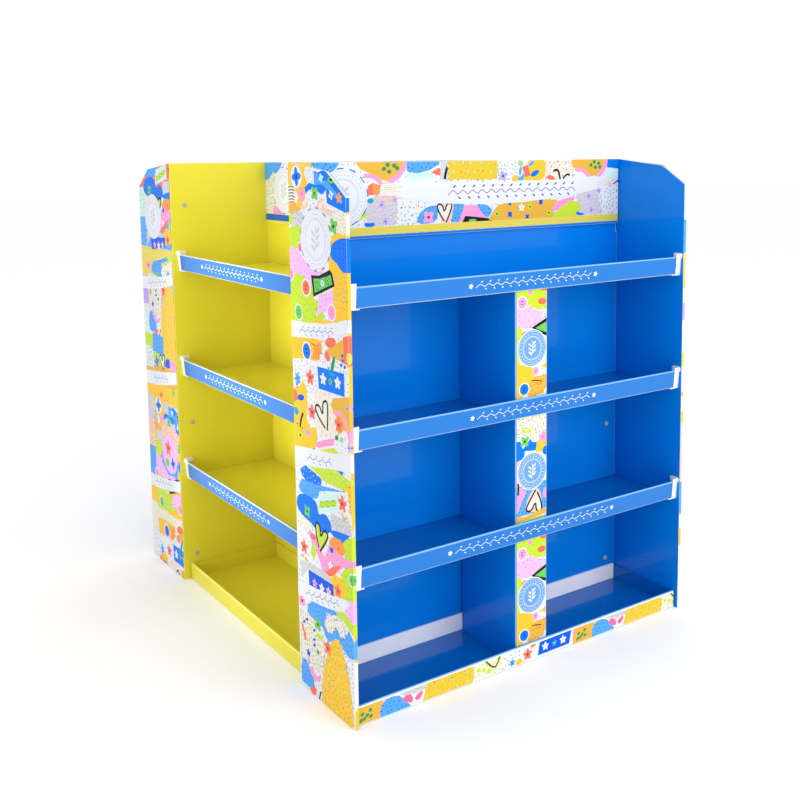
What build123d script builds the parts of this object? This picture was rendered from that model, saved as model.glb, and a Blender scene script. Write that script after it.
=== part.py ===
from build123d import *
import math
import os

# Four-sided free-standing shelf display, folded from printed corrugated board.
# X runs along the two wide bays, which face -Y (front) and +Y (rear).
# Y runs along the two narrow bays, which face -X (left) and +X (right).
# Z is up. The origin is on the ground in the middle of the stand. Millimetres.

os.makedirs("parts", exist_ok=True)

# ---- overall size ----
width = 1000.0            # over the printed outer faces of the end walls
depth = 1200.0            # between the front edges of the end walls
height = 1186.0           # ground to the top edge of the walls

# ---- board ----
board = 4.0               # thickness of one sheet
ply_gap = 0.3             # air left between two sheets that lie on each other
fold_radius = 3.0         # outside of a creased fold
fold_inner_radius = 0.4   # inside of a creased fold
edge_gap = 0.7            # play between a sheet's edge and the wall beside it

# ---- bays ----
wide_bay_depth = 245.0    # front edge to the narrow bay's side wall
narrow_bay_depth = 293.0  # outer face to the narrow bay's back
slope_drop = 18.0         # fall of an end wall's top from the back to the corner
corner_run = 76.0         # length of the corner cut, from the front edge
corner_drop = 66.0        # fall of the end wall's top at its front edge
corner_round = 40.0       # rounding where slope and corner cut meet
tip_round = 6.0           # rounding at the front edge

# ---- shelves ----
shelves_per_bay = 3
top_tier = 295.0          # underside of the top shelf to the top of the walls
bottom_extra = 6.0        # the bottom tier is this much taller than the others
lip_height = 45.5         # shelf lip, underside to top
lip_lean = 4.0            # how far the lip's top leans out
wide_setback = 11.0       # shelf lip back from the end wall's front edge
narrow_setback = 19.0
tab_width = 60.0          # tabs at the shelf's back, through slots in the wall
tab_reach = 12.0          # how far a tab stands out behind the wall
tab_inset = 55.0          # from a tab's edge to the corner of the core
slot_gap = 0.3

# ---- base trays ----
tray_lip_height = 46.0
tray_lip_end_gap = 4.5    # open gap between the lip's end and the side wall
wide_tray_setback = 10.0
narrow_tray_setback = 20.0
side_flap_height = 44.0
rear_flap_height = 47.0

# ---- headers ----
header_height = 173.0
header_end_gap = 3.0
slit_width = 5.0          # slit in the wide bay's back corners, beside the header
slit_below_header = 23.0

# ---- dividers ----
divider_width = 97.0
divider_flange = 28.0
stand_gap = 0.3           # play above and below a divider, and behind the lip

# ---- shelf clips ----
clip_wall = 2.0           # thickness of the moulding
clip_bar_width = 17.0
clip_bar_rise = 7.0       # bar's top above the lip's top
clip_head_length = 28.0
clip_head_height = 14.0
clip_head_forward = 8.0   # head's front end ahead of the lip's foot
clip_head_rise = 9.0      # head's top above the lip's top
clip_foot_reach = 10.0    # how far the foot reaches in under the lip
clip_foot_depth = 12.0
clip_gap = 0.3
pin_diameter = 5.0
pin_hole_gap = 0.2
dimple_diameter = 3.0
dimple_depth = 1.0

# ---- wall rivets ----
rivet_inset = 41.0        # from the end wall's outer face
rivet_low = 69.0          # height of the lowest rivet
rivet_above_shelf = 155.0 # middle rivet, above the underside of the first shelf
rivet_below_top = 115.0
rivet_head_diameter = 13.0
rivet_head = 1.8
rivet_head_round = 0.7
rivet_shank_diameter = 6.4
rivet_hole_gap = 0.2
rivet_seat = 0.1          # play under a rivet's head
rivet_eye_diameter = 3.4

# ---- places worked out from the sizes above ----
half_width = width / 2
half_depth = depth / 2
double_wall = 2 * board + ply_gap
wide_inner = half_width - double_wall             # wide bay's side wall, bay face
narrow_inner = half_depth - wide_bay_depth        # narrow bay's side wall, bay face
wide_back = narrow_inner + double_wall            # wide bay's back, bay face
narrow_back = half_width - narrow_bay_depth       # narrow bay's back, bay face
core_half_x = narrow_back - board
core_half_y = wide_back - board
shelf_pitch = (height - top_tier - bottom_extra) / shelves_per_bay
shelf_levels = [bottom_extra + shelf_pitch * (n + 1) for n in range(shelves_per_bay)]
lip_angle = math.degrees(math.atan2(lip_lean, lip_height))
lip_thickness = 2 * board + ply_gap
header_bottom = height - header_height
wide_header_gap = rivet_head + rivet_seat + ply_gap
wide_lip_half = wide_inner - clip_gap - clip_bar_width - clip_gap
narrow_lip_half = narrow_inner - clip_gap - clip_bar_width - clip_gap
rivet_x = half_width - rivet_inset
rivet_heights = [rivet_low, shelf_levels[0] + rivet_above_shelf, height - rivet_below_top]
clip_head_middle = clip_head_length / 2 - clip_head_forward
clip_pin_rise = lip_height + clip_head_rise - clip_head_height / 2


def export(shape, name):
    """Write one piece to its own file."""
    shape.label = name
    export_step(shape, os.path.join("parts", name + ".step"))


def turned(shape):
    """The same piece on the opposite side of the stand."""
    return Rot(0, 0, 180) * shape


def block(low, high):
    """Solid box between two corners."""
    size = [high[i] - low[i] for i in range(3)]
    middle = [(high[i] + low[i]) / 2 for i in range(3)]
    return Pos(*middle) * Box(*size)


def rounded(face, corner, radius):
    """Round the corner of a flat face that lies nearest to a point."""
    target = Vector(*corner)
    vertex = min(face.vertices(), key=lambda v: (Vector(v.X, v.Y, v.Z) - target).length)
    return fillet(vertex, radius)


def bent_sheet(path, side, tall):
    """A creased sheet standing on its edge. The path is its printed face in plan. The board
    lies to the left of the path for side 1, and to its right for side -1."""
    steps = []
    for a, b in zip(path, path[1:]):
        length = math.dist(a, b)
        steps.append(((b[0] - a[0]) / length, (b[1] - a[1]) / length))
    normals = [(-side * d[1] * board, side * d[0] * board) for d in steps]
    back = [(path[0][0] + normals[0][0], path[0][1] + normals[0][1])]
    for i in range(1, len(path) - 1):
        shift = (normals[i - 1][0] + normals[i][0], normals[i - 1][1] + normals[i][1])
        back.append((path[i][0] + shift[0], path[i][1] + shift[1]))
    back.append((path[-1][0] + normals[-1][0], path[-1][1] + normals[-1][1]))
    face = make_face(Polyline(*path, *reversed(back), close=True))
    for i in range(1, len(path) - 1):
        turn = steps[i - 1][0] * steps[i][1] - steps[i - 1][1] * steps[i][0]
        outer, inner = (path[i], back[i]) if turn * side > 0 else (back[i], path[i])
        face = rounded(face, outer, fold_radius)
        face = rounded(face, inner, fold_inner_radius)
    return extrude(face, tall)


def top_waste():
    """What is cut off the tops of the two front end walls: a gentle slope, then a corner."""
    front = -half_depth
    over = 10.0
    outline = Polyline(
        (front - over, height + over),
        (front - over, height - corner_drop),
        (front, height - corner_drop),
        (front + corner_run, height - slope_drop),
        (-wide_back, height),
        (-wide_back, height + over),
        close=True,
    )
    face = make_face(outline)
    face = rounded(face, (front, height - corner_drop), tip_round)
    face = rounded(face, (front + corner_run, height - slope_drop), corner_round)
    return extrude(Plane.YZ * face, width, both=True)


def pin_holes_wide():
    """Holes for the clip pins in the wide bay's side walls."""
    y = -half_depth + wide_setback + clip_head_middle
    radius = pin_diameter / 2 + pin_hole_gap
    holes = []
    for level in shelf_levels:
        for x in (-wide_inner - board / 2, wide_inner + board / 2):
            turn = Rot(0, 90, 0)
            holes.append(Pos(x, y, level + clip_pin_rise) * turn * Cylinder(radius, 2 * board))
    return holes


def pin_holes_narrow():
    """Holes for the clip pins in the left bay's side walls."""
    x = -half_width + narrow_setback + clip_head_middle
    radius = pin_diameter / 2 + pin_hole_gap
    holes = []
    for level in shelf_levels:
        for y in (-narrow_inner - board / 2, narrow_inner + board / 2):
            turn = Rot(90, 0, 0)
            holes.append(Pos(x, y, level + clip_pin_rise) * turn * Cylinder(radius, 2 * board))
    return holes


def rivet_holes():
    """Holes through the doubled walls, at every rivet."""
    radius = rivet_shank_diameter / 2 + rivet_hole_gap
    middle = (narrow_inner + wide_back) / 2
    holes = []
    for x in (-rivet_x, rivet_x):
        for y in (-middle, middle):
            for z in rivet_heights:
                turn = Rot(90, 0, 0)
                holes.append(Pos(x, y, z) * turn * Cylinder(radius, 2 * double_wall))
    return holes


def tab_slots(along, wall_near, wall_far):
    """Slots for the tabs at the back of the shelves, in a wall that lies across Y."""
    slots = []
    half = tab_width / 2 + slot_gap
    for level in shelf_levels:
        for x in (-along, along):
            low = (x - half, wall_near, level - slot_gap)
            high = (x + half, wall_far, level + board + slot_gap)
            slots.append(block(low, high))
    return slots


wide_tab_middle = core_half_x - tab_inset - tab_width / 2
narrow_tab_middle = core_half_y - tab_inset - tab_width / 2


# ---- wide bays: one U-shaped sheet each ----
def wide_liner():
    path = [
        (-wide_inner, -half_depth),
        (-wide_inner, -wide_back),
        (wide_inner, -wide_back),
        (wide_inner, -half_depth),
    ]
    sheet = bent_sheet(path, 1, height) - top_waste()
    slit_floor = header_bottom - slit_below_header
    for side in (-1, 1):
        x = side * (wide_inner - slit_width / 2)
        low = (x - slit_width / 2, -wide_back - board, slit_floor)
        high = (x + slit_width / 2, -wide_back + 2 * board, height + board)
        sheet -= block(low, high)
        sheet -= Pos(x, -wide_back + board / 2, slit_floor) * Rot(90, 0, 0) * Cylinder(
            slit_width / 2, 2 * board
        )
    sheet -= pin_holes_wide()
    sheet -= rivet_holes()
    sheet -= tab_slots(wide_tab_middle, -wide_back - board, -core_half_y + board)
    return sheet


# ---- narrow bays: one sheet makes the bay and both printed end walls beside it ----
def narrow_liner():
    path = [
        (-half_width, -half_depth),
        (-half_width, -narrow_inner),
        (-narrow_back, -narrow_inner),
        (-narrow_back, narrow_inner),
        (-half_width, narrow_inner),
        (-half_width, half_depth),
    ]
    sheet = bent_sheet(path, -1, height)
    waste = top_waste()
    sheet -= waste
    sheet -= turned(waste)
    sheet -= pin_holes_narrow()
    sheet -= rivet_holes()
    slots = tab_slots(narrow_tab_middle, narrow_back - 2 * board, narrow_back + board)
    sheet -= [Rot(0, 0, 90) * slot for slot in slots]
    return sheet


# ---- shelves and trays: drawn with the lip's foot on X, the back towards +Y ----
def lip_section(tall, angle):
    """End view of a doubled lip with the start of its floor: the sheet goes up, turns over
    in a round fold and comes down again behind itself."""
    floor_start = lip_thickness + fold_radius
    fold_middle = tall - lip_thickness / 2
    foot_gap = board + ply_gap
    outer = Pos(board / 2, fold_middle / 2) * Rectangle(board, fold_middle)
    inner_tall = fold_middle - foot_gap
    inner_x = board + ply_gap + board / 2
    inner = Pos(inner_x, foot_gap + inner_tall / 2) * Rectangle(board, inner_tall)
    fold = Pos(lip_thickness / 2, fold_middle) * Circle(lip_thickness / 2)
    gap_tall = fold_middle - board
    slit = Pos(lip_thickness / 2, board + gap_tall / 2) * Rectangle(ply_gap, gap_tall)
    lip = Rot(0, 0, angle) * (outer + inner + fold - slit)
    floor = Pos(floor_start / 2, board / 2) * Rectangle(floor_start, board)
    below = Pos(0, -board) * Rectangle(8 * board, 2 * board)
    face = (lip + floor) - below
    return rounded(face, (0, 0), fold_radius)


def lip_strip(length, tall, angle):
    """The lip section drawn out along X."""
    section = Plane.YZ * lip_section(tall, angle)
    return extrude(section, length / 2, both=True)


def shelf_sheet(lip_half, wall_half, floor_depth, tab_middle):
    """One shelf: floor, doubled lip and two tabs at the back."""
    floor_half = wall_half - edge_gap
    notch = clip_wall + 1.0
    sheet = lip_strip(2 * lip_half, lip_height, lip_angle)
    sheet += block((-floor_half, notch, 0), (floor_half, floor_depth, board))
    for x in (-tab_middle, tab_middle):
        low = (x - tab_width / 2, floor_depth - board, 0)
        high = (x + tab_width / 2, floor_depth + edge_gap + board + tab_reach, board)
        sheet += block(low, high)
    return sheet


def tray_sheet(wall_half, floor_depth):
    """One base tray: floor, doubled lip, and single flaps up the sides and the back."""
    lip_half = wall_half - tray_lip_end_gap
    floor_half = wall_half - edge_gap
    flap_start = lip_thickness + ply_gap
    sheet = lip_strip(2 * lip_half, tray_lip_height, 0)
    floor = block((-floor_half, flap_start, 0), (floor_half, floor_depth, board))
    sheet += floor
    flap_end = floor_depth - board - ply_gap
    for side in (-1, 1):
        inner = side * (floor_half - board)
        outer = side * floor_half
        low = (min(inner, outer), flap_start, 0)
        high = (max(inner, outer), flap_end, side_flap_height)
        sheet += block(low, high)
    rear_half = floor_half - board - ply_gap
    rear = block((-rear_half, floor_depth - board, 0), (rear_half, floor_depth, rear_flap_height))
    sheet += rear
    creases = []
    for edge in sheet.edges():
        middle = edge @ 0.5
        flat = abs(middle.Z) < 0.01
        at_side = abs(abs(middle.X) - floor_half) < 0.01
        at_back = abs(middle.Y - floor_depth) < 0.01
        if flat and edge.length > board * 4 and (at_side or at_back):
            creases.append(edge)
    return fillet(creases, fold_radius)


def clip_solid(lip_half, wall_half):
    """Moulded clip at the +X end of a shelf, drawn in the shelf's own frame: a bar beside the
    lip's end, a foot under the shelf, and a head whose pin is pushed into the side wall and
    stops just short of the board's far face."""
    wall_face = wall_half - clip_gap
    bar_start = lip_half + clip_gap
    bar_top = lip_height + clip_bar_rise
    foot_top = -clip_gap
    foot_low = foot_top - clip_wall
    bar = block((bar_start, 0, foot_low), (wall_face, clip_wall, bar_top))
    bar = Rot(lip_angle, 0, 0) * bar
    foot = block((bar_start - clip_foot_reach, 0, foot_low), (wall_face, clip_foot_depth, foot_top))
    foot = fillet(foot.edges().filter_by(Axis.Z), clip_wall * 0.9)
    head_low = lip_height + clip_head_rise - clip_head_height
    head_front = -clip_head_forward
    low = (wall_face - clip_wall, head_front, head_low)
    high = (wall_face, head_front + clip_head_length, head_low + clip_head_height)
    head = block(low, high)
    head = fillet(head.edges().filter_by(Axis.X), clip_head_height * 0.4)
    turn = Rot(0, 90, 0)
    pin_length = clip_wall + board
    pin_middle = wall_face - clip_wall + pin_length / 2
    pin = Pos(pin_middle, clip_head_middle, clip_pin_rise) * turn * Cylinder(
        pin_diameter / 2, pin_length
    )
    dimple = Pos(wall_face - clip_wall, clip_head_middle, clip_pin_rise) * turn * Cylinder(
        dimple_diameter / 2, 2 * dimple_depth
    )
    return bar + foot + head + pin - dimple


def mirrored(shape):
    """The same piece at the other end of its shelf."""
    return mirror(shape, about=Plane.YZ)


def place_wide(setback, level):
    """From a shelf's own frame to the front bay."""
    return Pos(0, -half_depth + setback, level)


def place_narrow(setback, level):
    """From a shelf's own frame to the left bay."""
    return Pos(-half_width + setback, 0, level) * Rot(0, 0, -90)


# ---- divider: a folded column with two flanges against the back ----
def divider_sheet(low, high, back_room):
    front = -half_depth + wide_setback + lip_thickness + stand_gap
    back = -wide_back - back_room
    half = divider_width / 2
    path = [
        (half - divider_flange, back),
        (half, back),
        (half, front),
        (-half, front),
        (-half, back),
        (-half + divider_flange, back),
    ]
    return Pos(0, 0, low) * bent_sheet(path, -1, high - low)


# ---- rivet: shank through both sheets and a flat head on each side, drawn along Z ----
def rivet_solid():
    span = double_wall + 2 * rivet_seat
    radius = rivet_head_diameter / 2
    top = Pos(0, 0, span / 2 + rivet_head / 2) * Cylinder(radius, rivet_head)
    top = fillet(top.edges().sort_by(Axis.Z)[-1], rivet_head_round)
    low = Rot(180, 0, 0) * top
    shank = Cylinder(rivet_shank_diameter / 2, span + rivet_head)
    eye = Pos(0, 0, span / 2 + rivet_head) * Cylinder(rivet_eye_diameter / 2, rivet_head)
    return top + low + shank - eye


front_liner = wide_liner()
left_liner = narrow_liner()
export(front_liner, "front_liner")
export(turned(front_liner), "rear_liner")
export(left_liner, "left_liner")
export(turned(left_liner), "right_liner")

header_y = -wide_back - wide_header_gap
wide_header_half = wide_inner - header_end_gap
wide_header = block(
    (-wide_header_half, header_y - board, header_bottom),
    (wide_header_half, header_y, height),
)
header_x = -narrow_back - ply_gap
narrow_header_half = narrow_inner - edge_gap
narrow_header = block(
    (header_x - board, -narrow_header_half, header_bottom),
    (header_x, narrow_header_half, height),
)
export(wide_header, "front_header")
export(turned(wide_header), "rear_header")
export(narrow_header, "left_header")
export(turned(narrow_header), "right_header")

wide_floor_depth = half_depth - wide_setback - wide_back - edge_gap
narrow_floor_depth = half_width - narrow_setback - narrow_back - edge_gap
wide_shelf = shelf_sheet(wide_lip_half, wide_inner, wide_floor_depth, wide_tab_middle)
narrow_shelf = shelf_sheet(narrow_lip_half, narrow_inner, narrow_floor_depth, narrow_tab_middle)
wide_clip = clip_solid(wide_lip_half, wide_inner)
narrow_clip = clip_solid(narrow_lip_half, narrow_inner)
wide_clips = []
narrow_clips = []
for number, level in enumerate(shelf_levels, start=1):
    wide = place_wide(wide_setback, level)
    narrow = place_narrow(narrow_setback, level)
    export(wide * wide_shelf, f"front_shelf_{number}")
    export(turned(wide * wide_shelf), f"rear_shelf_{number}")
    export(narrow * narrow_shelf, f"left_shelf_{number}")
    export(turned(narrow * narrow_shelf), f"right_shelf_{number}")
    wide_clips += [wide * wide_clip, wide * mirrored(wide_clip)]
    narrow_clips += [narrow * narrow_clip, narrow * mirrored(narrow_clip)]
export(Compound(children=wide_clips), "front_shelf_clips")
export(Compound(children=[turned(clip) for clip in wide_clips]), "rear_shelf_clips")
export(Compound(children=narrow_clips), "left_shelf_clips")
export(Compound(children=[turned(clip) for clip in narrow_clips]), "right_shelf_clips")

wide_tray_depth = half_depth - wide_tray_setback - wide_back - ply_gap
narrow_tray_depth = half_width - narrow_tray_setback - narrow_back - ply_gap
wide_tray = place_wide(wide_tray_setback, 0) * tray_sheet(wide_inner, wide_tray_depth)
narrow_tray = place_narrow(narrow_tray_setback, 0) * tray_sheet(narrow_inner, narrow_tray_depth)
export(wide_tray, "front_base_tray")
export(turned(wide_tray), "rear_base_tray")
export(narrow_tray, "left_base_tray")
export(turned(narrow_tray), "right_base_tray")

divider_floors = [board] + [level + board for level in shelf_levels[:-1]]
tray_flap_room = board + 2 * ply_gap
for number, (floor, ceiling) in enumerate(zip(divider_floors, shelf_levels), start=1):
    back_room = tray_flap_room if number == 1 else ply_gap
    divider = divider_sheet(floor + stand_gap, ceiling - stand_gap, back_room)
    export(divider, f"front_divider_{number}")
    export(turned(divider), f"rear_divider_{number}")

rivet = rivet_solid()
wall_middle = (narrow_inner + wide_back) / 2
rivets = []
for x in (-rivet_x, rivet_x):
    for z in rivet_heights:
        rivets.append(Pos(x, -wall_middle, z) * Rot(-90, 0, 0) * rivet)
        rivets.append(Pos(x, wall_middle, z) * Rot(90, 0, 0) * rivet)
export(Compound(children=rivets), "wall_rivets")

print("shelf undersides:", [round(level, 1) for level in shelf_levels])
print("core opening:", round(2 * core_half_x, 1), "x", round(2 * core_half_y, 1))
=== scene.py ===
# %% [markdown]
# # A four-sided display stand of printed corrugated board
# The folded sheets arrive ready made, each one in its place, in metres, with the ground at zero.
# This lesson dresses them: board that is printed on one face and pale at its cut edges, a collage
# print on the end walls, headers, tray lips and dividers, small plastic fittings, a floor, lights
# and a camera. Nothing that arrives is moved or reshaped.

# %% Load the folded stand
import math
import random

import bmesh
import bpy
from mathutils import Matrix, Vector


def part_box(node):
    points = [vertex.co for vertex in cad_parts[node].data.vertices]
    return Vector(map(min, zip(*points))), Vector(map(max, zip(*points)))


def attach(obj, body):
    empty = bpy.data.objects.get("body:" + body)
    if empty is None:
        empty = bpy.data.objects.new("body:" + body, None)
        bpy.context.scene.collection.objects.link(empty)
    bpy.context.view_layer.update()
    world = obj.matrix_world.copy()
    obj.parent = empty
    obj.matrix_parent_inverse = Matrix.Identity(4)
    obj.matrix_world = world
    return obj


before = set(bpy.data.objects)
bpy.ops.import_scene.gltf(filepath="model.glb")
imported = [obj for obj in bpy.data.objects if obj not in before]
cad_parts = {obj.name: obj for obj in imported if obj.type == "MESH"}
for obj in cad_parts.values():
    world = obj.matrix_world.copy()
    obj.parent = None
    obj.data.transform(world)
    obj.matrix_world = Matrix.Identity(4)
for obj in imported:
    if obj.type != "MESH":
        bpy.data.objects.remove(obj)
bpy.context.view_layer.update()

scene = bpy.context.scene
print("sheets and fittings:", len(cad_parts))

# %% [markdown]
# ## Camera
# The stand is seen from its front left corner at the height of its own top edge, so the tops of
# the walls are almost a line. A long lens on a wide frame would flatten it, so a normal lens is
# used, and a small shift keeps the uprights close to upright, as a view camera does.

# %% Place the camera
CAMERA_PLACE = Vector((-1.511, -2.3353, 1.1935))
CAMERA_TURN = math.radians(34.945)
CAMERA_DIP = math.radians(6.379)
CAMERA_ROLL = math.radians(-0.583)
FOCAL_LENGTH, SENSOR_WIDTH = 45.53, 36.0     # millimetres
LENS_SHIFT = (-0.0374, -0.1611)


def camera_axes(turn, dip, roll):
    """Right, up and forward of a camera that looks along +Y when nothing is turned."""
    forward = Vector((
        math.sin(turn) * math.cos(dip), math.cos(turn) * math.cos(dip), -math.sin(dip)))
    level = Vector((math.cos(turn), -math.sin(turn), 0.0))
    upright = level.cross(forward)
    right = level * math.cos(roll) + upright * math.sin(roll)
    up = upright * math.cos(roll) - level * math.sin(roll)
    return right, up, forward


right, up, forward = camera_axes(CAMERA_TURN, CAMERA_DIP, CAMERA_ROLL)
lens = bpy.data.cameras.new("camera")
lens.lens, lens.sensor_width = FOCAL_LENGTH, SENSOR_WIDTH
lens.shift_x, lens.shift_y = LENS_SHIFT
camera = bpy.data.objects.new("camera", lens)
camera.matrix_world = Matrix.Translation(CAMERA_PLACE) @ Matrix((
    (right.x, up.x, -forward.x), (right.y, up.y, -forward.y), (right.z, up.z, -forward.z),
)).to_4x4()
scene.collection.objects.link(camera)
scene.camera = camera
print("camera looks along", [round(v, 3) for v in forward])

# %% [markdown]
# ## Floor and light
# A studio shows such a stand on seamless white paper. One large sheet of pale paper lies under it
# and the world around is an even white. Broad lamps give the varnished board its soft,
# wide reflections: a key lamp in front of the wide bay and weaker ones on the left and above. A
# fourth, with a grid on it, stands close to the narrow bay and lights only the inside of that.

# %% Lay the floor and hang the lamps
def node_of(tree, kind, place=(0, 0), **settings):
    """A node of one kind, with its plain settings made."""
    node = tree.nodes.new(kind)
    node.location = place
    for name, value in settings.items():
        setattr(node, name, value)
    return node


def new_surface(name, **settings):
    """A new material with its tree and its main shader, whose plain settings are made."""
    material = bpy.data.materials.new(name)
    material.use_nodes = True
    surface = material.node_tree.nodes["Principled BSDF"]
    for label, value in settings.items():
        surface.inputs[label.replace("_", " ")].default_value = value
    return material, material.node_tree, surface


def relief(tree, surface, height, strength, distance):
    """Let a height stand out of the surface as fine relief."""
    bump = node_of(tree, "ShaderNodeBump")
    bump.inputs["Strength"].default_value = strength
    bump.inputs["Distance"].default_value = distance
    tree.links.new(height, bump.inputs["Height"])
    tree.links.new(bump.outputs["Normal"], surface.inputs["Normal"])


def floor_paper():
    material, tree, surface = new_surface("seamless_paper", Roughness=0.9, Specular_IOR_Level=0.15)
    place = node_of(tree, "ShaderNodeTexCoord", (-700, 0))
    fibre = node_of(tree, "ShaderNodeTexNoise", (-500, 0))
    fibre.inputs["Scale"].default_value = 3.0
    tone = node_of(tree, "ShaderNodeValToRGB", (-300, 0))
    tone.color_ramp.elements[0].color = (0.945, 0.945, 0.95, 1)
    tone.color_ramp.elements[1].color = (0.965, 0.965, 0.965, 1)
    tree.links.new(place.outputs["Object"], fibre.inputs["Vector"])
    tree.links.new(fibre.outputs["Fac"], tone.inputs["Fac"])
    tree.links.new(tone.outputs["Color"], surface.inputs["Base Color"])
    return material


def lamp(name, place, target, size, power):
    light = bpy.data.lights.new(name, "AREA")
    light.shape = "RECTANGLE"
    light.size, light.size_y = size
    light.energy = power
    holder = bpy.data.objects.new(name, light)
    aim = Vector(target) - Vector(place)
    holder.location = place
    holder.rotation_mode = "QUATERNION"
    holder.rotation_quaternion = aim.to_track_quat("-Z", "Y")
    scene.collection.objects.link(holder)
    return holder


FLOOR_HALF, FLOOR_DROP = 30.0, -0.0005
floor_mesh = bpy.data.meshes.new("floor")
floor_mesh.from_pydata(
    [(x * FLOOR_HALF, y * FLOOR_HALF, FLOOR_DROP) for x, y in ((-1, -1), (1, -1), (1, 1), (-1, 1))],
    [], [(0, 1, 2, 3)])
floor = bpy.data.objects.new("floor", floor_mesh)
floor.data.materials.append(floor_paper())
scene.collection.objects.link(floor)

lamp("front_lamp", (0.5, -3.9, 2.2), (0.1, 0, 0.6), (2.8, 2.4), 62)
lamp("left_lamp", (-3.6, -2.6, 3.2), (0, 0, 0.6), (2.4, 2.2), 16)
lamp("top_lamp", (0, 0, 4.2), (0, 0, 0), (3.5, 3.5), 6)
bay_lamp = lamp("narrow_bay_lamp", (-1.25, 0, 0.72), (0, 0, 0.60), (0.42, 0.95), 2.0)
bay_lamp.data.spread = math.radians(56)     # a grid in front of it keeps its light inside the bay

world = bpy.data.worlds.new("studio")
world.use_nodes = True
sky_light = world.node_tree.nodes["Background"]
sky_light.inputs["Color"].default_value = (1.0, 1.0, 1.0, 1)
sky_light.inputs["Strength"].default_value = 1.04
scene.world = world
scene.view_settings.view_transform = "Standard"

# %% [markdown]
# ## Inks and papers
# Colours are written as a designer reads them from a swatch, 0 to 1 in each channel, and are made
# linear once, here, because a shader computes with light and not with swatches.

# %% Name the inks
def linear(swatch, strength=1.0):
    """A swatch's colour as linear light, with full opacity."""
    light = [c / 12.92 if c <= 0.04045 else ((c + 0.055) / 1.055) ** 2.4 for c in swatch]
    return tuple(strength * c for c in light) + (1.0,)


INKS = {name: linear(swatch, 0.93) for name, swatch in {
    "white": (0.90, 0.91, 0.94), "cream": (0.92, 0.90, 0.84), "mist": (0.80, 0.81, 0.83),
    "gold": (0.98, 0.77, 0.20), "ochre": (0.90, 0.70, 0.26), "straw": (0.90, 0.83, 0.36),
    "lime": (0.77, 0.88, 0.22), "pink": (0.98, 0.62, 0.82), "lilac": (0.95, 0.73, 0.96),
    "rose": (0.96, 0.42, 0.62), "violet": (0.72, 0.66, 0.96), "sky": (0.33, 0.65, 0.98),
    "blue": (0.03, 0.47, 0.96), "cobalt": (0.05, 0.36, 0.90), "navy": (0.06, 0.16, 0.50),
    "coral": (0.96, 0.46, 0.36), "orange": (0.97, 0.60, 0.28), "salmon": (0.98, 0.78, 0.70),
    "green": (0.42, 0.79, 0.35), "leaf": (0.16, 0.58, 0.36), "sage": (0.70, 0.77, 0.60),
    "mint": (0.80, 0.93, 0.91), "teal": (0.10, 0.66, 0.74), "pen": (0.13, 0.12, 0.14),
    "slate": (0.42, 0.44, 0.52), "wine": (0.62, 0.10, 0.26), "badge": (0.42, 0.63, 0.90),
    "script": (0.33, 0.38, 0.66), "haze": (0.78, 0.80, 0.88), "badge_ring": (0.95, 0.96, 0.98),
    "rule_blue": (0.14, 0.42, 0.72), "foot_blue": (0.10, 0.50, 0.86),
    "foot_yellow": (0.90, 0.84, 0.30),
}.items()}
print("inks:", len(INKS))

# %% [markdown]
# ## What board looks like up close
# Corrugated board shows four things: a faintly mottled printed face, washboard lines where the
# flutes press through the liner, cut edges with a row of hollow flutes, painted as brown spots that
# stand partly for the brown fluting paper and partly for painted shade inside the open flutes, and
# rounded creases, which are painted paler as a painted highlight. Each one is a small node group,
# built once and used in every board finish with its own values, so that all the sheets clearly come
# from the same mill.

# %% Build the board groups
FLUTE_PITCH = 0.0065     # from one flute to the next
FLUTE_RELIEF = 0.0004    # how far the flutes press through


def new_group(name, inputs, outputs):
    """An empty shader group with named sockets, and its two end nodes."""
    group = bpy.data.node_groups.new(name, "ShaderNodeTree")
    kinds = {"c": "NodeSocketColor", "f": "NodeSocketFloat", "v": "NodeSocketVector"}
    for label, kind, value in inputs:
        socket = group.interface.new_socket(name=label, in_out="INPUT", socket_type=kinds[kind])
        if value is not None:
            socket.default_value = value
    for label, kind in outputs:
        group.interface.new_socket(name=label, in_out="OUTPUT", socket_type=kinds[kind])
    start = node_of(group, "NodeGroupInput", (-1200, 0))
    return group, start, node_of(group, "NodeGroupOutput", (900, 0))


def sum_of(tree, operation, first, second, clamp=False):
    """A math node fed by sockets or plain numbers; returns its output."""
    node = node_of(tree, "ShaderNodeMath", operation=operation, use_clamp=clamp)
    for slot, value in zip(node.inputs, (first, second)):
        if isinstance(value, (int, float)):
            slot.default_value = value
        elif value is not None:
            tree.links.new(value, slot)
    return node.outputs[0]


def blended(tree, share, first, second, mode="MIX"):
    """Colour that goes from first to second as share goes from 0 to 1."""
    node = node_of(tree, "ShaderNodeMix", data_type="RGBA", blend_type=mode)
    for slot, value in ((node.inputs[0], share), (node.inputs[6], first), (node.inputs[7], second)):
        if isinstance(value, (int, float, tuple)):
            slot.default_value = value
        else:
            tree.links.new(value, slot)
    return node.outputs[2]


def noise_of(tree, vector, scale, detail=2.0):
    node = node_of(tree, "ShaderNodeTexNoise")
    node.inputs["Scale"].default_value = scale
    node.inputs["Detail"].default_value = detail
    tree.links.new(vector, node.inputs["Vector"])
    return node.outputs["Fac"]


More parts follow.
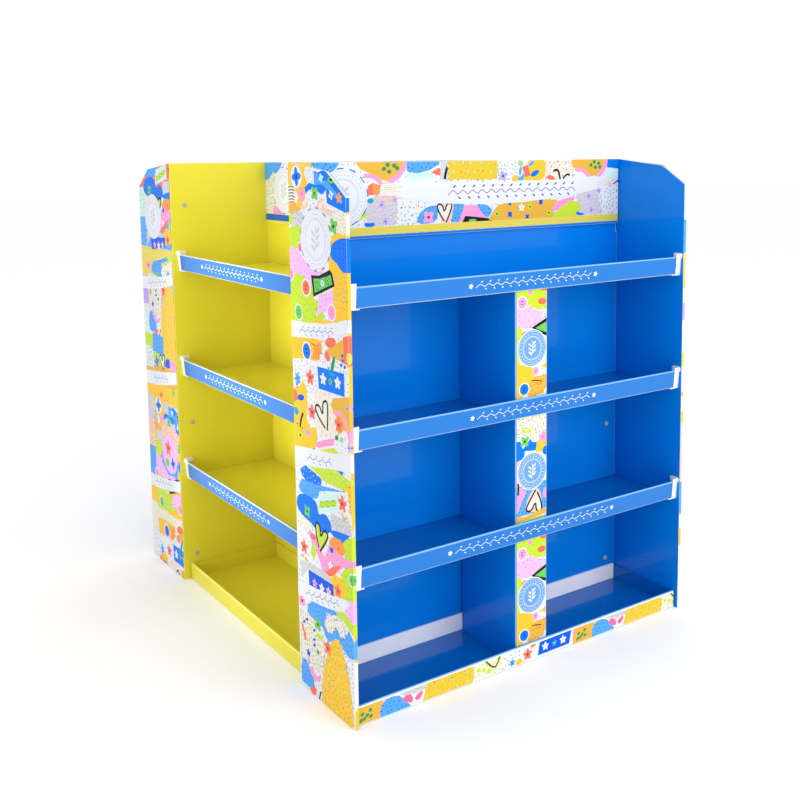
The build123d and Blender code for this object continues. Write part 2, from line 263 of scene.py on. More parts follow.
def paper_tone_group():
    """Mottled ink or paper: cloudy drift, fine fibre, and a roughness that follows both."""
    group, start, end = new_group(
        "paper_tone",
        [("Color", "c", None), ("Drift", "f", 0.06), ("Fibre", "f", 0.05),
         ("Roughness", "f", 0.35)],
        [("Color", "c"), ("Roughness", "f")])
    place = node_of(group, "ShaderNodeTexCoord").outputs["Object"]
    cloud = sum_of(group, "SUBTRACT", noise_of(group, place, 5.0), 0.5)
    fibre = sum_of(group, "SUBTRACT", noise_of(group, place, 900.0, 3.0), 0.5)
    drift = sum_of(group, "MULTIPLY", cloud, start.outputs["Drift"])
    grain = sum_of(group, "MULTIPLY", fibre, start.outputs["Fibre"])
    light = sum_of(group, "ADD", sum_of(group, "ADD", drift, grain), 1.0)
    shade = node_of(group, "ShaderNodeVectorMath", operation="SCALE")
    group.links.new(start.outputs["Color"], shade.inputs[0])
    group.links.new(light, shade.inputs["Scale"])
    group.links.new(shade.outputs[0], end.inputs["Color"])
    rough = sum_of(group, "ADD", sum_of(group, "MULTIPLY", cloud, 0.12), start.outputs["Roughness"])
    group.links.new(rough, end.inputs["Roughness"])
    return group


def washboard_group():
    """Height of the flutes that press through the liner as upright lines, and of the fibres."""
    group, start, end = new_group(
        "washboard", [("Pitch", "f", FLUTE_PITCH), ("Depth", "f", 1.0)], [("Height", "f")])
    place = node_of(group, "ShaderNodeTexCoord").outputs["Object"]
    split = node_of(group, "ShaderNodeSeparateXYZ")
    group.links.new(place, split.inputs[0])
    along = sum_of(group, "ADD", split.outputs[0], split.outputs[1])
    turns = sum_of(group, "MULTIPLY", sum_of(group, "DIVIDE", along, start.outputs["Pitch"]),
                   math.tau)
    wave = sum_of(group, "MULTIPLY", sum_of(group, "SINE", turns, None), 0.5)
    uneven = noise_of(group, place, 14.0)
    fibre = sum_of(group, "MULTIPLY", noise_of(group, place, 600.0), 0.35)
    height = sum_of(group, "ADD", sum_of(group, "MULTIPLY", wave, uneven), fibre)
    group.links.new(sum_of(group, "MULTIPLY", height, start.outputs["Depth"]), end.inputs["Height"])
    return group


def cut_edge_group():
    """Cut edge of the board: pale liner, with the hollow flutes as a row of soft brown spots,
    partly the brown fluting paper and partly painted shade inside the open flutes.
    """
    group, start, end = new_group(
        "cut_edge", [("Liner", "c", INKS["cream"]), ("Hollow", "c", linear((0.60, 0.50, 0.38)))],
        [("Color", "c")])
    place = node_of(group, "ShaderNodeTexCoord").outputs["Object"]
    split = node_of(group, "ShaderNodeSeparateXYZ")
    group.links.new(place, split.inputs[0])
    along = sum_of(group, "ADD", split.outputs[0], split.outputs[1])
    wave = sum_of(group, "SINE", sum_of(group, "MULTIPLY", along, math.tau / FLUTE_PITCH), None)
    # painted shade in part: the flute openings are darkened towards brown
    spots = sum_of(group, "MULTIPLY", sum_of(group, "GREATER_THAN", wave, 0.1), 0.45)
    worn = sum_of(group, "MULTIPLY", noise_of(group, place, 120.0), 0.5)
    share = sum_of(group, "ADD", spots, sum_of(group, "SUBTRACT", worn, 0.2), clamp=True)
    group.links.new(
        blended(group, share, start.outputs["Liner"], start.outputs["Hollow"]), end.inputs["Color"])
    return group


def sheet_sides_group():
    """Masks from the way a face looks: outward and inward from the stand's middle, up, down, and
    the rounded folds, which look in between."""
    group, start, end = new_group(
        "sheet_sides", [("Fold From", "f", 0.12)],
        [("Outward X", "f"), ("Outward Y", "f"), ("Up", "f"), ("Fold", "f"),
         ("Away X", "f"), ("Away Y", "f"), ("Height", "f")])
    geometry = node_of(group, "ShaderNodeNewGeometry")
    place = node_of(group, "ShaderNodeTexCoord").outputs["Object"]
    looks = node_of(group, "ShaderNodeSeparateXYZ")
    where = node_of(group, "ShaderNodeSeparateXYZ")
    group.links.new(geometry.outputs["True Normal"], looks.inputs[0])
    group.links.new(place, where.inputs[0])
    largest = None
    for axis, label in ((0, "X"), (1, "Y")):
        side = sum_of(group, "SIGN", where.outputs[axis], None)
        outward = sum_of(group, "MULTIPLY", side, looks.outputs[axis])
        group.links.new(outward, end.inputs["Outward " + label])
        group.links.new(sum_of(group, "ABSOLUTE", where.outputs[axis], None),
                        end.inputs["Away " + label])
    for axis in range(3):
        size = sum_of(group, "ABSOLUTE", looks.outputs[axis], None)
        largest = size if largest is None else sum_of(group, "MAXIMUM", largest, size)
    bend = sum_of(group, "SUBTRACT", 1.0, largest)
    fold = sum_of(group, "DIVIDE", bend, start.outputs["Fold From"], clamp=True)
    group.links.new(fold, end.inputs["Fold"])
    group.links.new(looks.outputs[2], end.inputs["Up"])
    group.links.new(where.outputs[2], end.inputs["Height"])
    return group


GROUPS = {"tone": paper_tone_group(), "wash": washboard_group(), "edge": cut_edge_group(),
          "sides": sheet_sides_group()}
print("board groups:", [g.name for g in GROUPS.values()])

# %% [markdown]
# ## Board finishes
# A stand sheet is printed on its bay side, is plain white on its back, and is raw where the knife
# went through. One builder makes every such finish: it takes the print's colour and a rule that
# says which faces are printed. The rule works on where a face looks and where it is, because a
# sheet is one solid with one material. The printed side carries a clear varnish, as a coat.

# %% Build the board finishes
def use_group(tree, key, **values):
    node = node_of(tree, "ShaderNodeGroup")
    node.node_tree = GROUPS[key]
    for label, value in values.items():
        node.inputs[label.replace("_", " ")].default_value = value
    return node


def board_finish(name, printed, print_rule, fold_highlight_colour, gloss=0.24, coat=0.20, extra=None):
    """Material of one sheet. print_rule gives, from the tree and the sides node, a share from 0,
    bare board, to 1, print; extra may lay more colours over the print."""
    material, tree, surface = new_surface(name, Specular_IOR_Level=0.12, Coat_Roughness=0.04)
    sides = use_group(tree, "sides")
    share = print_rule(tree, sides)
    ink = printed
    if extra:
        ink = extra(tree, sides, ink)
    # painted highlight: faces on the rounded folds are blended three quarters of the way to a paler
    # colour, standing in for light catching the fold
    ink = blended(tree, sum_of(tree, "MULTIPLY", sides.outputs["Fold"], 0.75), ink, fold_highlight_colour)
    edge = use_group(tree, "edge")
    level = sum_of(tree, "ABSOLUTE", sides.outputs["Up"], None)
    flat = sum_of(tree, "GREATER_THAN", level, LEVEL_LOOK)
    bare = blended(tree, flat, INKS["white"], edge.outputs["Color"])
    colour = blended(tree, share, bare, ink)
    tone = use_group(tree, "tone", Roughness=gloss)
    tree.links.new(colour, tone.inputs["Color"])
    tree.links.new(tone.outputs["Color"], surface.inputs["Base Color"])
    dull = sum_of(tree, "MULTIPLY", sum_of(tree, "SUBTRACT", 1.0, share), 0.45)
    tree.links.new(sum_of(tree, "ADD", tone.outputs["Roughness"], dull),
                   surface.inputs["Roughness"])
    tree.links.new(sum_of(tree, "MULTIPLY", share, coat), surface.inputs["Coat Weight"])
    relief(tree, surface, use_group(tree, "wash").outputs["Height"], 0.12, FLUTE_RELIEF)
    return material


WALL_BLUE = linear((0.0, 0.49, 0.87))
SHELF_BLUE = linear((0.0, 0.41, 0.74))
LIP_BLUE = linear((0.07, 0.44, 0.77))
NARROW_LIP_BLUE = linear((0.0, 0.42, 0.76))
WALL_YELLOW = linear((0.87, 0.83, 0.23))
# painted highlight colours: the paler blue and yellow that the rounded folds are blended towards,
# standing in for light caught by the fold
FOLD_HIGHLIGHT_BLUE = linear((0.62, 0.80, 0.97))
FOLD_HIGHLIGHT_YELLOW = linear((0.96, 0.93, 0.58))
FLAP_WHITE = linear((0.99, 0.99, 1.0))
# Places from the stand's middle, in metres, where one sheet changes its colour
FRONT_EDGE = 0.5994      # beyond this, a wall's face is its cut front edge
NARROW_LIP_FROM = 0.4722
WIDE_LIP_FROM = 0.5802
TRAY_LIP_FROM = 0.5895
TRAY_FLAP_WITHIN = 0.3690
TRAY_FLOOR_TOP = 0.0045
LEVEL_LOOK = 0.6         # a face that looks up or down by more than this is level


def over(tree, value, limit):
    return sum_of(tree, "GREATER_THAN", value, limit)


def under(tree, value, limit):
    return sum_of(tree, "LESS_THAN", value, limit)


def wide_wall_rule(tree, sides):
    """Wide bay's sheet: print looks in along X and out along Y, except at the cut front edge."""
    looks = sum_of(tree, "SUBTRACT", sides.outputs["Outward Y"], sides.outputs["Outward X"])
    inside = under(tree, sides.outputs["Away Y"], FRONT_EDGE)
    return sum_of(tree, "MULTIPLY", over(tree, looks, 0.5), inside)


def narrow_wall_rule(tree, sides):
    """Narrow bay's sheet: print looks out along X and in along Y."""
    looks = sum_of(tree, "SUBTRACT", sides.outputs["Outward X"], sides.outputs["Outward Y"])
    return over(tree, looks, 0.5)


def top_rule(tree, sides):
    """Shelves and trays: everything is printed but the underside."""
    return over(tree, sides.outputs["Up"], -LEVEL_LOOK)


def blue_lips(tree, sides, ink):
    """The narrow shelves have blue lips on yellow floors."""
    lip = over(tree, sides.outputs["Away X"], NARROW_LIP_FROM)
    return blended(tree, lip, ink, NARROW_LIP_BLUE)


def tray_flaps(tree, sides, ink):
    """The wide tray's rear flap shows its plain white side; its lip is white under the print."""
    rear = under(tree, sides.outputs["Away Y"], TRAY_FLAP_WITHIN)
    raised = over(tree, sides.outputs["Height"], TRAY_FLOOR_TOP)
    lip = over(tree, sides.outputs["Away Y"], TRAY_LIP_FROM)
    white = sum_of(tree, "MAXIMUM", sum_of(tree, "MULTIPLY", rear, raised), lip)
    return blended(tree, white, ink, FLAP_WHITE)


def all_printed(tree, sides):
    """Headers and dividers: printed all over, except on edges that look up or down."""
    level = sum_of(tree, "ABSOLUTE", sides.outputs["Up"], None)
    return under(tree, level, LEVEL_LOOK)


def blue_below_lips(tree, sides, ink):
    """Wide shelves: the floor is the deeper shelf blue, the lip the lighter blue."""
    lip = over(tree, sides.outputs["Away Y"], WIDE_LIP_FROM)
    return blended(tree, lip, ink, LIP_BLUE)


FINISHES = {
    "wide_wall": board_finish("blue_printed_wall", WALL_BLUE, wide_wall_rule, FOLD_HIGHLIGHT_BLUE),
    "narrow_wall": board_finish("yellow_printed_wall", WALL_YELLOW, narrow_wall_rule, FOLD_HIGHLIGHT_YELLOW),
    "wide_shelf": board_finish(
        "blue_shelf_board", SHELF_BLUE, top_rule, FOLD_HIGHLIGHT_BLUE, extra=blue_below_lips),
    "narrow_shelf": board_finish(
        "yellow_shelf_board", WALL_YELLOW, top_rule, FOLD_HIGHLIGHT_YELLOW, extra=blue_lips),
    "wide_tray": board_finish(
        "blue_tray_board", SHELF_BLUE, top_rule, FOLD_HIGHLIGHT_BLUE, gloss=0.16, coat=0.45,
        extra=tray_flaps),
    "narrow_tray": board_finish("yellow_tray_board", WALL_YELLOW, top_rule, FOLD_HIGHLIGHT_YELLOW),
    "header": board_finish("header_board", INKS["white"], all_printed, INKS["white"]),
    "divider": board_finish("divider_board", WALL_BLUE, all_printed, FOLD_HIGHLIGHT_BLUE),
}
print("finishes:", sorted(FINISHES))

# %% [markdown]
# ## Plastic fittings
# The shelf clips are moulded in white polypropylene: waxy, a little translucent, with a soft
# highlight. The wall rivets are clear, so the wall's colour shows through their flat heads.

# %% Build the plastics
def plastic(name, colour, roughness, **settings):
    material, tree, surface = new_surface(name, **settings)
    tone = use_group(tree, "tone", Color=colour, Drift=0.03, Fibre=0.02, Roughness=roughness)
    tree.links.new(tone.outputs["Color"], surface.inputs["Base Color"])
    tree.links.new(tone.outputs["Roughness"], surface.inputs["Roughness"])
    place = node_of(tree, "ShaderNodeTexCoord").outputs["Object"]
    relief(tree, surface, noise_of(tree, place, 1500.0), 0.08, 0.0002)
    return material


FINISHES["clip"] = plastic(
    "white_polypropylene", linear((0.93, 0.93, 0.93)), 0.38, Subsurface_Weight=0.12)
FINISHES["rivet"] = plastic(
    "clear_polycarbonate", linear((0.88, 0.89, 0.90)), 0.18, Transmission_Weight=0.55)

LONG_SIDES = ("front", "rear")
for name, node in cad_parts.items():
    side, _, kind = name.partition("_")
    bay = "wide" if side in LONG_SIDES else "narrow"
    if name == "wall_rivets":
        finish = "rivet"
    elif kind == "shelf_clips":
        finish = "clip"
    elif kind == "header" or kind.startswith("divider"):
        finish = kind.partition("_")[0]
    else:
        finish = bay + {"liner": "_wall", "base_tray": "_tray"}.get(kind, "_shelf")
    node.data.materials.clear()
    node.data.materials.append(FINISHES[finish])
print("dressed:", len(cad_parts), "sheets and fittings")

# %% [markdown]
# ## A press that prints in layers
# The collage is made as a designer lays cut paper on a light table: broad fields of colour first,
# then flowers, buttons and pen strokes on top. It could be one picture, but a picture has no edges
# to zoom into; here every piece of ink is a thin solid with a clean outline. A print face is a
# flat rectangle or a sheet with a cut corner, measured in millimetres along it and up it, and
# whatever is laid on it is trimmed to its outline, as the cutting die does.

# %% Print faces and trimming
MM = 0.001
BASE_LIFT = 0.06       # thickness of the white base print, in millimetres
LAYER_LIFT = 0.03      # each layer of print above it
MARK_HEIGHT = 0.04     # thickness of a small mark, half of it proud
MARK_MARGIN = 3.5      # marks keep this far from a face's edge
LEAST_STEP, LEAST_AREA = 0.05, 0.2      # smaller leftovers of trimming are thrown away


def trimmed(shape, outline):
    """The part of a polygon inside a convex outline, both anticlockwise."""
    for a, b in zip(outline, outline[1:] + outline[:1]):
        kept = []
        for p, q in zip(shape, shape[1:] + shape[:1]):
            p_in = (b[0] - a[0]) * (p[1] - a[1]) - (b[1] - a[1]) * (p[0] - a[0])
            q_in = (b[0] - a[0]) * (q[1] - a[1]) - (b[1] - a[1]) * (q[0] - a[0])
            if p_in >= 0:
                kept.append(p)
            if p_in * q_in < 0:
                t = p_in / (p_in - q_in)
                kept.append((p[0] + (q[0] - p[0]) * t, p[1] + (q[1] - p[1]) * t))
        shape = kept
        if len(shape) < 3:
            return []
    clean = []
    for p in shape:
        if not clean or math.dist(p, clean[-1]) > LEAST_STEP:
            clean.append(p)
    if len(clean) > 2 and math.dist(clean[0], clean[-1]) <= LEAST_STEP:
        clean.pop()
    return clean if len(clean) > 2 and abs(area_of(clean)) > LEAST_AREA else []


def corners(line):
    """Points from a line such as "0,24 60,173"."""
    return [tuple(float(n) for n in point.split(",")) for point in line.split()]


def area_of(shape):
    return 0.5 * sum(p[0] * q[1] - q[0] * p[1] for p, q in zip(shape, shape[1:] + shape[:1]))


def box_of(shape):
    across, up = zip(*shape)
    return min(across), min(up), max(across), max(up)


class PrintFace:
    """A flat printed face: its lower corner in metres, the ways along and up it, its outline."""

    base = "white"       # ink of the print under everything, or None

    def __init__(self, name, corner, along, outline, up=(0, 0, 1)):
        self.name = name
        self.corner = Vector(corner)
        self.along = Vector(along)
        self.up = Vector(up)
        self.out = self.along.cross(self.up)
        self.outline = outline
        middle = [sum(p[axis] for p in outline) / len(outline) for axis in (0, 1)]
        self.inset = [tuple(p[axis] + math.copysign(MARK_MARGIN, middle[axis] - p[axis])
                            for axis in (0, 1)) for p in outline]
        self.shift = (0, 0)  # added to whatever is laid
        self.laid = []       # (polygon, ink name, layer)
        self.seeds = []      # (polygon, mark name, layer)

    def place(self, p, lift):
        return self.corner + (self.along * p[0] + self.up * p[1] + self.out * lift) * MM

    def lay(self, shapes, ink, marks=()):
        """Print one or more polygons in one ink, on top of what they touch."""
        group = []
        for shape in shapes:
            shape = [(u + self.shift[0], v + self.shift[1]) for u, v in shape]
            shape = shape if area_of(shape) > 0 else shape[::-1]
            shape = trimmed(shape, self.outline)
            if shape:
                group.append(shape)
        if not group:
            return
        boxes = [box_of(shape) for shape in group]
        layer = 1
        for other, _, level in self.laid:
            low_u, low_v, high_u, high_v = box_of(other)
            for b in boxes:
                if b[0] < high_u and b[2] > low_u and b[1] < high_v and b[3] > low_v:
                    layer = max(layer, level + 1)
        for shape in group:
            self.laid.append((shape, ink, layer))
            for mark in marks:
                core = trimmed(shape, self.inset)
                if core:
                    self.seeds.append((core, mark, layer))

    def cut(self, ink, line, *marks):
        """A polygon with straight edges. Corners are written "along,up along,up" in millimetres."""
        self.lay([corners(line)], ink, marks)

    def tear(self, ink, line, seed, *marks, **edge):
        """A polygon with a torn or brushed edge."""
        self.lay([torn(corners(line), seed, **edge)], ink, marks)

    def snip(self, ink, line, *marks, rounds=2):
        """A polygon with its corners rounded off."""
        self.lay([soft(corners(line), rounds)], ink, marks)

    def spot(self, ink, *sizes, marks=()):
        """An oval."""
        self.lay([oval(*sizes)], ink, marks)

    def pen(self, ink, line, width):
        """A pen or brush stroke."""
        self.lay(stroke(corners(line), width), ink)

    def turned(self, name):
        """The same print on the opposite side of the stand."""
        twin = PrintFace(name, (-self.corner.x, -self.corner.y, self.corner.z), -self.along,
                         self.outline,
                         (-self.up.x, -self.up.y, self.up.z))
        twin.laid, twin.seeds, twin.base = self.laid, self.seeds, self.base
        return twin


def ink_piece(bm, ink_layer, face, shape, low, high, ink):
    """One piece of print as a thin closed solid."""
    top = [bm.verts.new(face.place(p, high)) for p in shape]
    bottom = [bm.verts.new(face.place(p, low)) for p in shape]
    made = [bm.faces.new(top), bm.faces.new(list(reversed(bottom)))]
    count = len(shape)
    for i in range(count):
        j = (i + 1) % count
        made.append(bm.faces.new((bottom[i], bottom[j], top[j], top[i])))
    for face_made in made:
        for loop in face_made.loops:
            loop[ink_layer] = INKS[ink]


def pressed(face):
    """A print face's whole print as one mesh object."""
    bm = bmesh.new()
    ink_layer = bm.loops.layers.float_color.new("ink")
    if face.base:
        ink_piece(bm, ink_layer, face, face.outline, 0.0, BASE_LIFT, face.base)
    for shape, ink, layer in face.laid:
        ink_piece(bm, ink_layer, face, shape, 0.0, BASE_LIFT + layer * LAYER_LIFT, ink)
    mesh = bpy.data.meshes.new(face.name)
    bm.to_mesh(mesh)
    bm.free()
    mesh.materials.append(PRINT_INK)
    piece = bpy.data.objects.new(face.name, mesh)
    scene.collection.objects.link(piece)
    return piece


def print_finish():
    """Ink under varnish: the colour comes from the print itself, the rest from the board."""
    material, tree, surface = new_surface(
        "varnished_print", Specular_IOR_Level=0.06, Coat_Weight=0.02, Coat_Roughness=0.18)
    ink = node_of(tree, "ShaderNodeAttribute", attribute_name="ink")
    tone = use_group(tree, "tone", Drift=0.05, Fibre=0.07, Roughness=0.34)
    tree.links.new(ink.outputs["Color"], tone.inputs["Color"])
    tree.links.new(tone.outputs["Color"], surface.inputs["Base Color"])
    tree.links.new(tone.outputs["Roughness"], surface.inputs["Roughness"])
    relief(tree, surface, use_group(tree, "wash").outputs["Height"], 0.10, FLUTE_RELIEF)
    return material


PRINT_INK = print_finish()
print("press ready, layers of", LAYER_LIFT, "mm")

# %% [markdown]
# ## The shapes of the collage
# A handful of shape makers covers the whole print: soft-cornered fields, torn-edge strips,
# flowers, buttons, leaves, and pen strokes that are a ribbon round a smooth line. Each returns
# plain outlines in millimetres, so that any of them can be laid on any face.

# %% Shape makers
def soft(points, rounds=2):
    """Corners cut again and again until the outline is round, as scissors leave it."""
    for _ in range(rounds):
        cut = []
        for p, q in zip(points, points[1:] + points[:1]):
            cut.append((0.75 * p[0] + 0.25 * q[0], 0.75 * p[1] + 0.25 * q[1]))
            cut.append((0.25 * p[0] + 0.75 * q[0], 0.25 * p[1] + 0.75 * q[1]))
        points = cut
    return points


def torn(points, seed, rough=1.6, step=9.0):
    """A polygon with a slightly uneven edge, as torn or brushed."""
    draw = random.Random(seed)
    edge = []
    for p, q in zip(points, points[1:] + points[:1]):
        parts = max(1, int(math.dist(p, q) / step))
        for i in range(parts):
            t = i / parts
            edge.append((p[0] + (q[0] - p[0]) * t + draw.uniform(-rough, rough),
                         p[1] + (q[1] - p[1]) * t + draw.uniform(-rough, rough)))
    return edge


def oval(u, v, long, wide, turn=0.0, count=22):
    """An oval's outline; long and wide are half sizes, turn in degrees."""
    c, s = math.cos(math.radians(turn)), math.sin(math.radians(turn))
    ring = []
    for i in range(count):
        a = math.tau * i / count
        x, y = long * math.cos(a), wide * math.sin(a)
        ring.append((u + x * c - y * s, v + x * s + y * c))
    return ring


def blossom(u, v, size, petals=5, turn=0.0, depth=0.22):
    """A simple flower's outline."""
    count = petals * 8
    ring = []
    for i in range(count):
        a = math.tau * i / count
        reach = size * (1 - depth + depth * math.cos(petals * a))
        ring.append((u + reach * math.cos(a + turn), v + reach * math.sin(a + turn)))
    return ring


def slab(u, v, long, wide, turn=0.0):
    """A rectangle about its middle; long and wide are full sizes."""
    c, s = math.cos(math.radians(turn)), math.sin(math.radians(turn))
    corners = [(-long / 2, -wide / 2), (long / 2, -wide / 2), (long / 2, wide / 2),
               (-long / 2, wide / 2)]
    return [(u + x * c - y * s, v + x * s + y * c) for x, y in corners]


def smooth_line(points, rounds=2):
    """An open line with its corners cut, ends kept."""
    for _ in range(rounds):
        cut = [points[0]]
        for p, q in zip(points, points[1:]):
            cut.append((0.75 * p[0] + 0.25 * q[0], 0.75 * p[1] + 0.25 * q[1]))
            cut.append((0.25 * p[0] + 0.75 * q[0], 0.25 * p[1] + 0.75 * q[1]))
        cut.append(points[-1])
        points = cut
    return points


def stroke(points, width, rounds=2):
    """A pen or brush stroke as a chain of four-sided pieces."""
    line = smooth_line(points, rounds) if len(points) > 2 else points
    sides = []
    for i, p in enumerate(line):
        a, b = line[max(0, i - 1)], line[min(len(line) - 1, i + 1)]
        reach = math.dist(a, b) or 1.0
        n = (-(b[1] - a[1]) / reach * width / 2, (b[0] - a[0]) / reach * width / 2)
        sides.append(((p[0] + n[0], p[1] + n[1]), (p[0] - n[0], p[1] - n[1])))
    return [[a[0], a[1], b[1], b[0]] for a, b in zip(sides, sides[1:])]


def flower(face, u, v, size, ink, eye="pen", petals=5, turn=0.3):
    face.lay([blossom(u, v, size, petals, turn)], ink)
    face.spot(eye, u, v, size * 0.22, size * 0.2, 20, 10)


def button(face, u, v, size, ink, holes, halo="white", turn=0.0):
    """A round button with a pale ring and two thread slots."""
    face.spot(halo, u, v, size * 1.22, size * 1.22)
    face.spot(ink, u, v, size, size)
    c, s = math.cos(math.radians(turn)), math.sin(math.radians(turn))
    for side in (-1, 1):
        face.lay([slab(u - s * side * size * 0.25, v + c * side * size * 0.25, size * 0.55,
                       size * 0.16, turn)], holes)


def pen_heart(face, u, v, size, turn=0.0, ink="pen", fill="cream"):
    """A heart drawn in two loose brush strokes that don't quite meet."""
    c, s = math.cos(math.radians(turn)), math.sin(math.radians(turn))

    def at(points):
        return [(u + (x * c - y * s) * size, v + (x * s + y * c) * size) for x, y in points]

    face.lay([soft(at([(-0.9, 0.9), (-0.3, 0.8), (0, 0.35), (0.35, 0.85), (0.9, 0.75), (0.55, 0),
                       (0, -1.0), (-0.6, -0.1)]))], fill)
    face.lay(stroke(at([(-0.1, 0.15), (-0.3, 0.95), (-1.0, 0.95), (-0.75, 0.05), (-0.15, -0.85)]),
                    size * 0.17), ink)
    face.lay(stroke(at([(0.0, 0.2), (0.35, 0.95), (1.05, 0.85), (0.7, 0.0), (0.05, -1.05)]),
                    size * 0.17), ink)


def garland(face, u, v, length, swing, ink, rise=0.0, thick=1.6, pitch=26.0):
    """A drawn vine: a waving stem with a small leaf at each turn."""
    count = max(2, round(length / pitch * 2))
    stem = []
    for i in range(count + 1):
        t = i / count
        stem.append((u + (t - 0.5) * length,
                     v + (t - 0.5) * rise + swing * (1 if i % 2 else -1) * 0.5))
    face.lay(stroke(stem, thick), ink)
    for i in range(1, count):
        p = stem[i]
        tilt = 35 if i % 2 else -35
        side = swing * 0.42 * (1 if i % 2 else -1)
        face.spot(ink, p[0] + pitch * 0.16, p[1] + side, swing * 0.34, swing * 0.15, tilt, 10)


def badge(face, u, v, radius, field, ring, dots=30):
    """A round seal with a plain sprig in it and a ring of ticks, where a maker's seal would be."""
    face.spot(field, u, v, radius, radius, 0, 56)
    draw = random.Random(int(u * 7 + v))
    for share, width in ((0.93, 0.020), (0.66, 0.028), (0.60, 0.014)):
        ring_line = oval(u, v, radius * share, radius * share, 0, 48)
        face.lay(stroke(ring_line + ring_line[:1], radius * width, 0), ring)
    for i in range(dots):
        a = math.tau * i / dots
        reach = radius * 0.795
        face.lay([slab(u + reach * math.cos(a), v + reach * math.sin(a),
                       radius * draw.uniform(0.09, 0.15),
                       radius * 0.035, math.degrees(a) + draw.choice((0, 60, 90, 120)))], ring)
    face.lay(stroke([(u - radius * 0.05, v - radius * 0.42), (u + radius * 0.06, v),
                     (u, v + radius * 0.42)], radius * 0.045), ring)
    for i, side in enumerate((-1, 1) * 3):
        rise = radius * (-0.26 + 0.11 * i)
        face.spot(ring, u + side * radius * 0.15, v + rise, radius * 0.15, radius * 0.055,
                  side * 38, 12)


print("shape makers ready")

# %% [markdown]
# ## The end wall's collage
# Each end wall is a tall strip that runs from the yellow crease to the front edge. Its print is
# composed from the top down: gold and blue fields, a round seal, lime and lilac fields with
# buttons, and three white brush bands that cut the strip into four. The near wall's print is laid
# on the wall across the stand too; the other two walls get the second composition, below.

# %% Compose the near end wall
PANEL_WIDTH = 245.0
low_corner, high_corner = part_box("left_liner")
CREASE_Y = low_corner.y + PANEL_WIDTH * MM
# crease at the left, front edge at the right, with the wall's own sloped and cut top
NEAR_OUTLINE = [(0.6, 0.4), (244.6, 0.4), (244.6, 1117.5), (174, 1165), (165, 1169.5),
                (0.6, 1185.4)]

near = PrintFace("near_end_wall_print", (low_corner.x, CREASE_Y, 0), (0, -1, 0), NEAR_OUTLINE)


def band(face, points, seed, script=None):
    """A white brush band with a drawn vine on it."""
    face.lay([torn(points, seed, 0.9, 14.0)], "white")
    if script:
        garland(face, *script[:3], 9.0, "script", script[3], 1.5)


def tick_ring(face, u, v, reach, start, long, wide, ink):
    """Twelve short bars round a seal."""
    for i in range(12):
        a = math.radians(start + 29 * i)
        face.lay([slab(u + reach * math.cos(a), v + reach * math.sin(a), long, wide,
                       math.degrees(a) + 90)], ink)


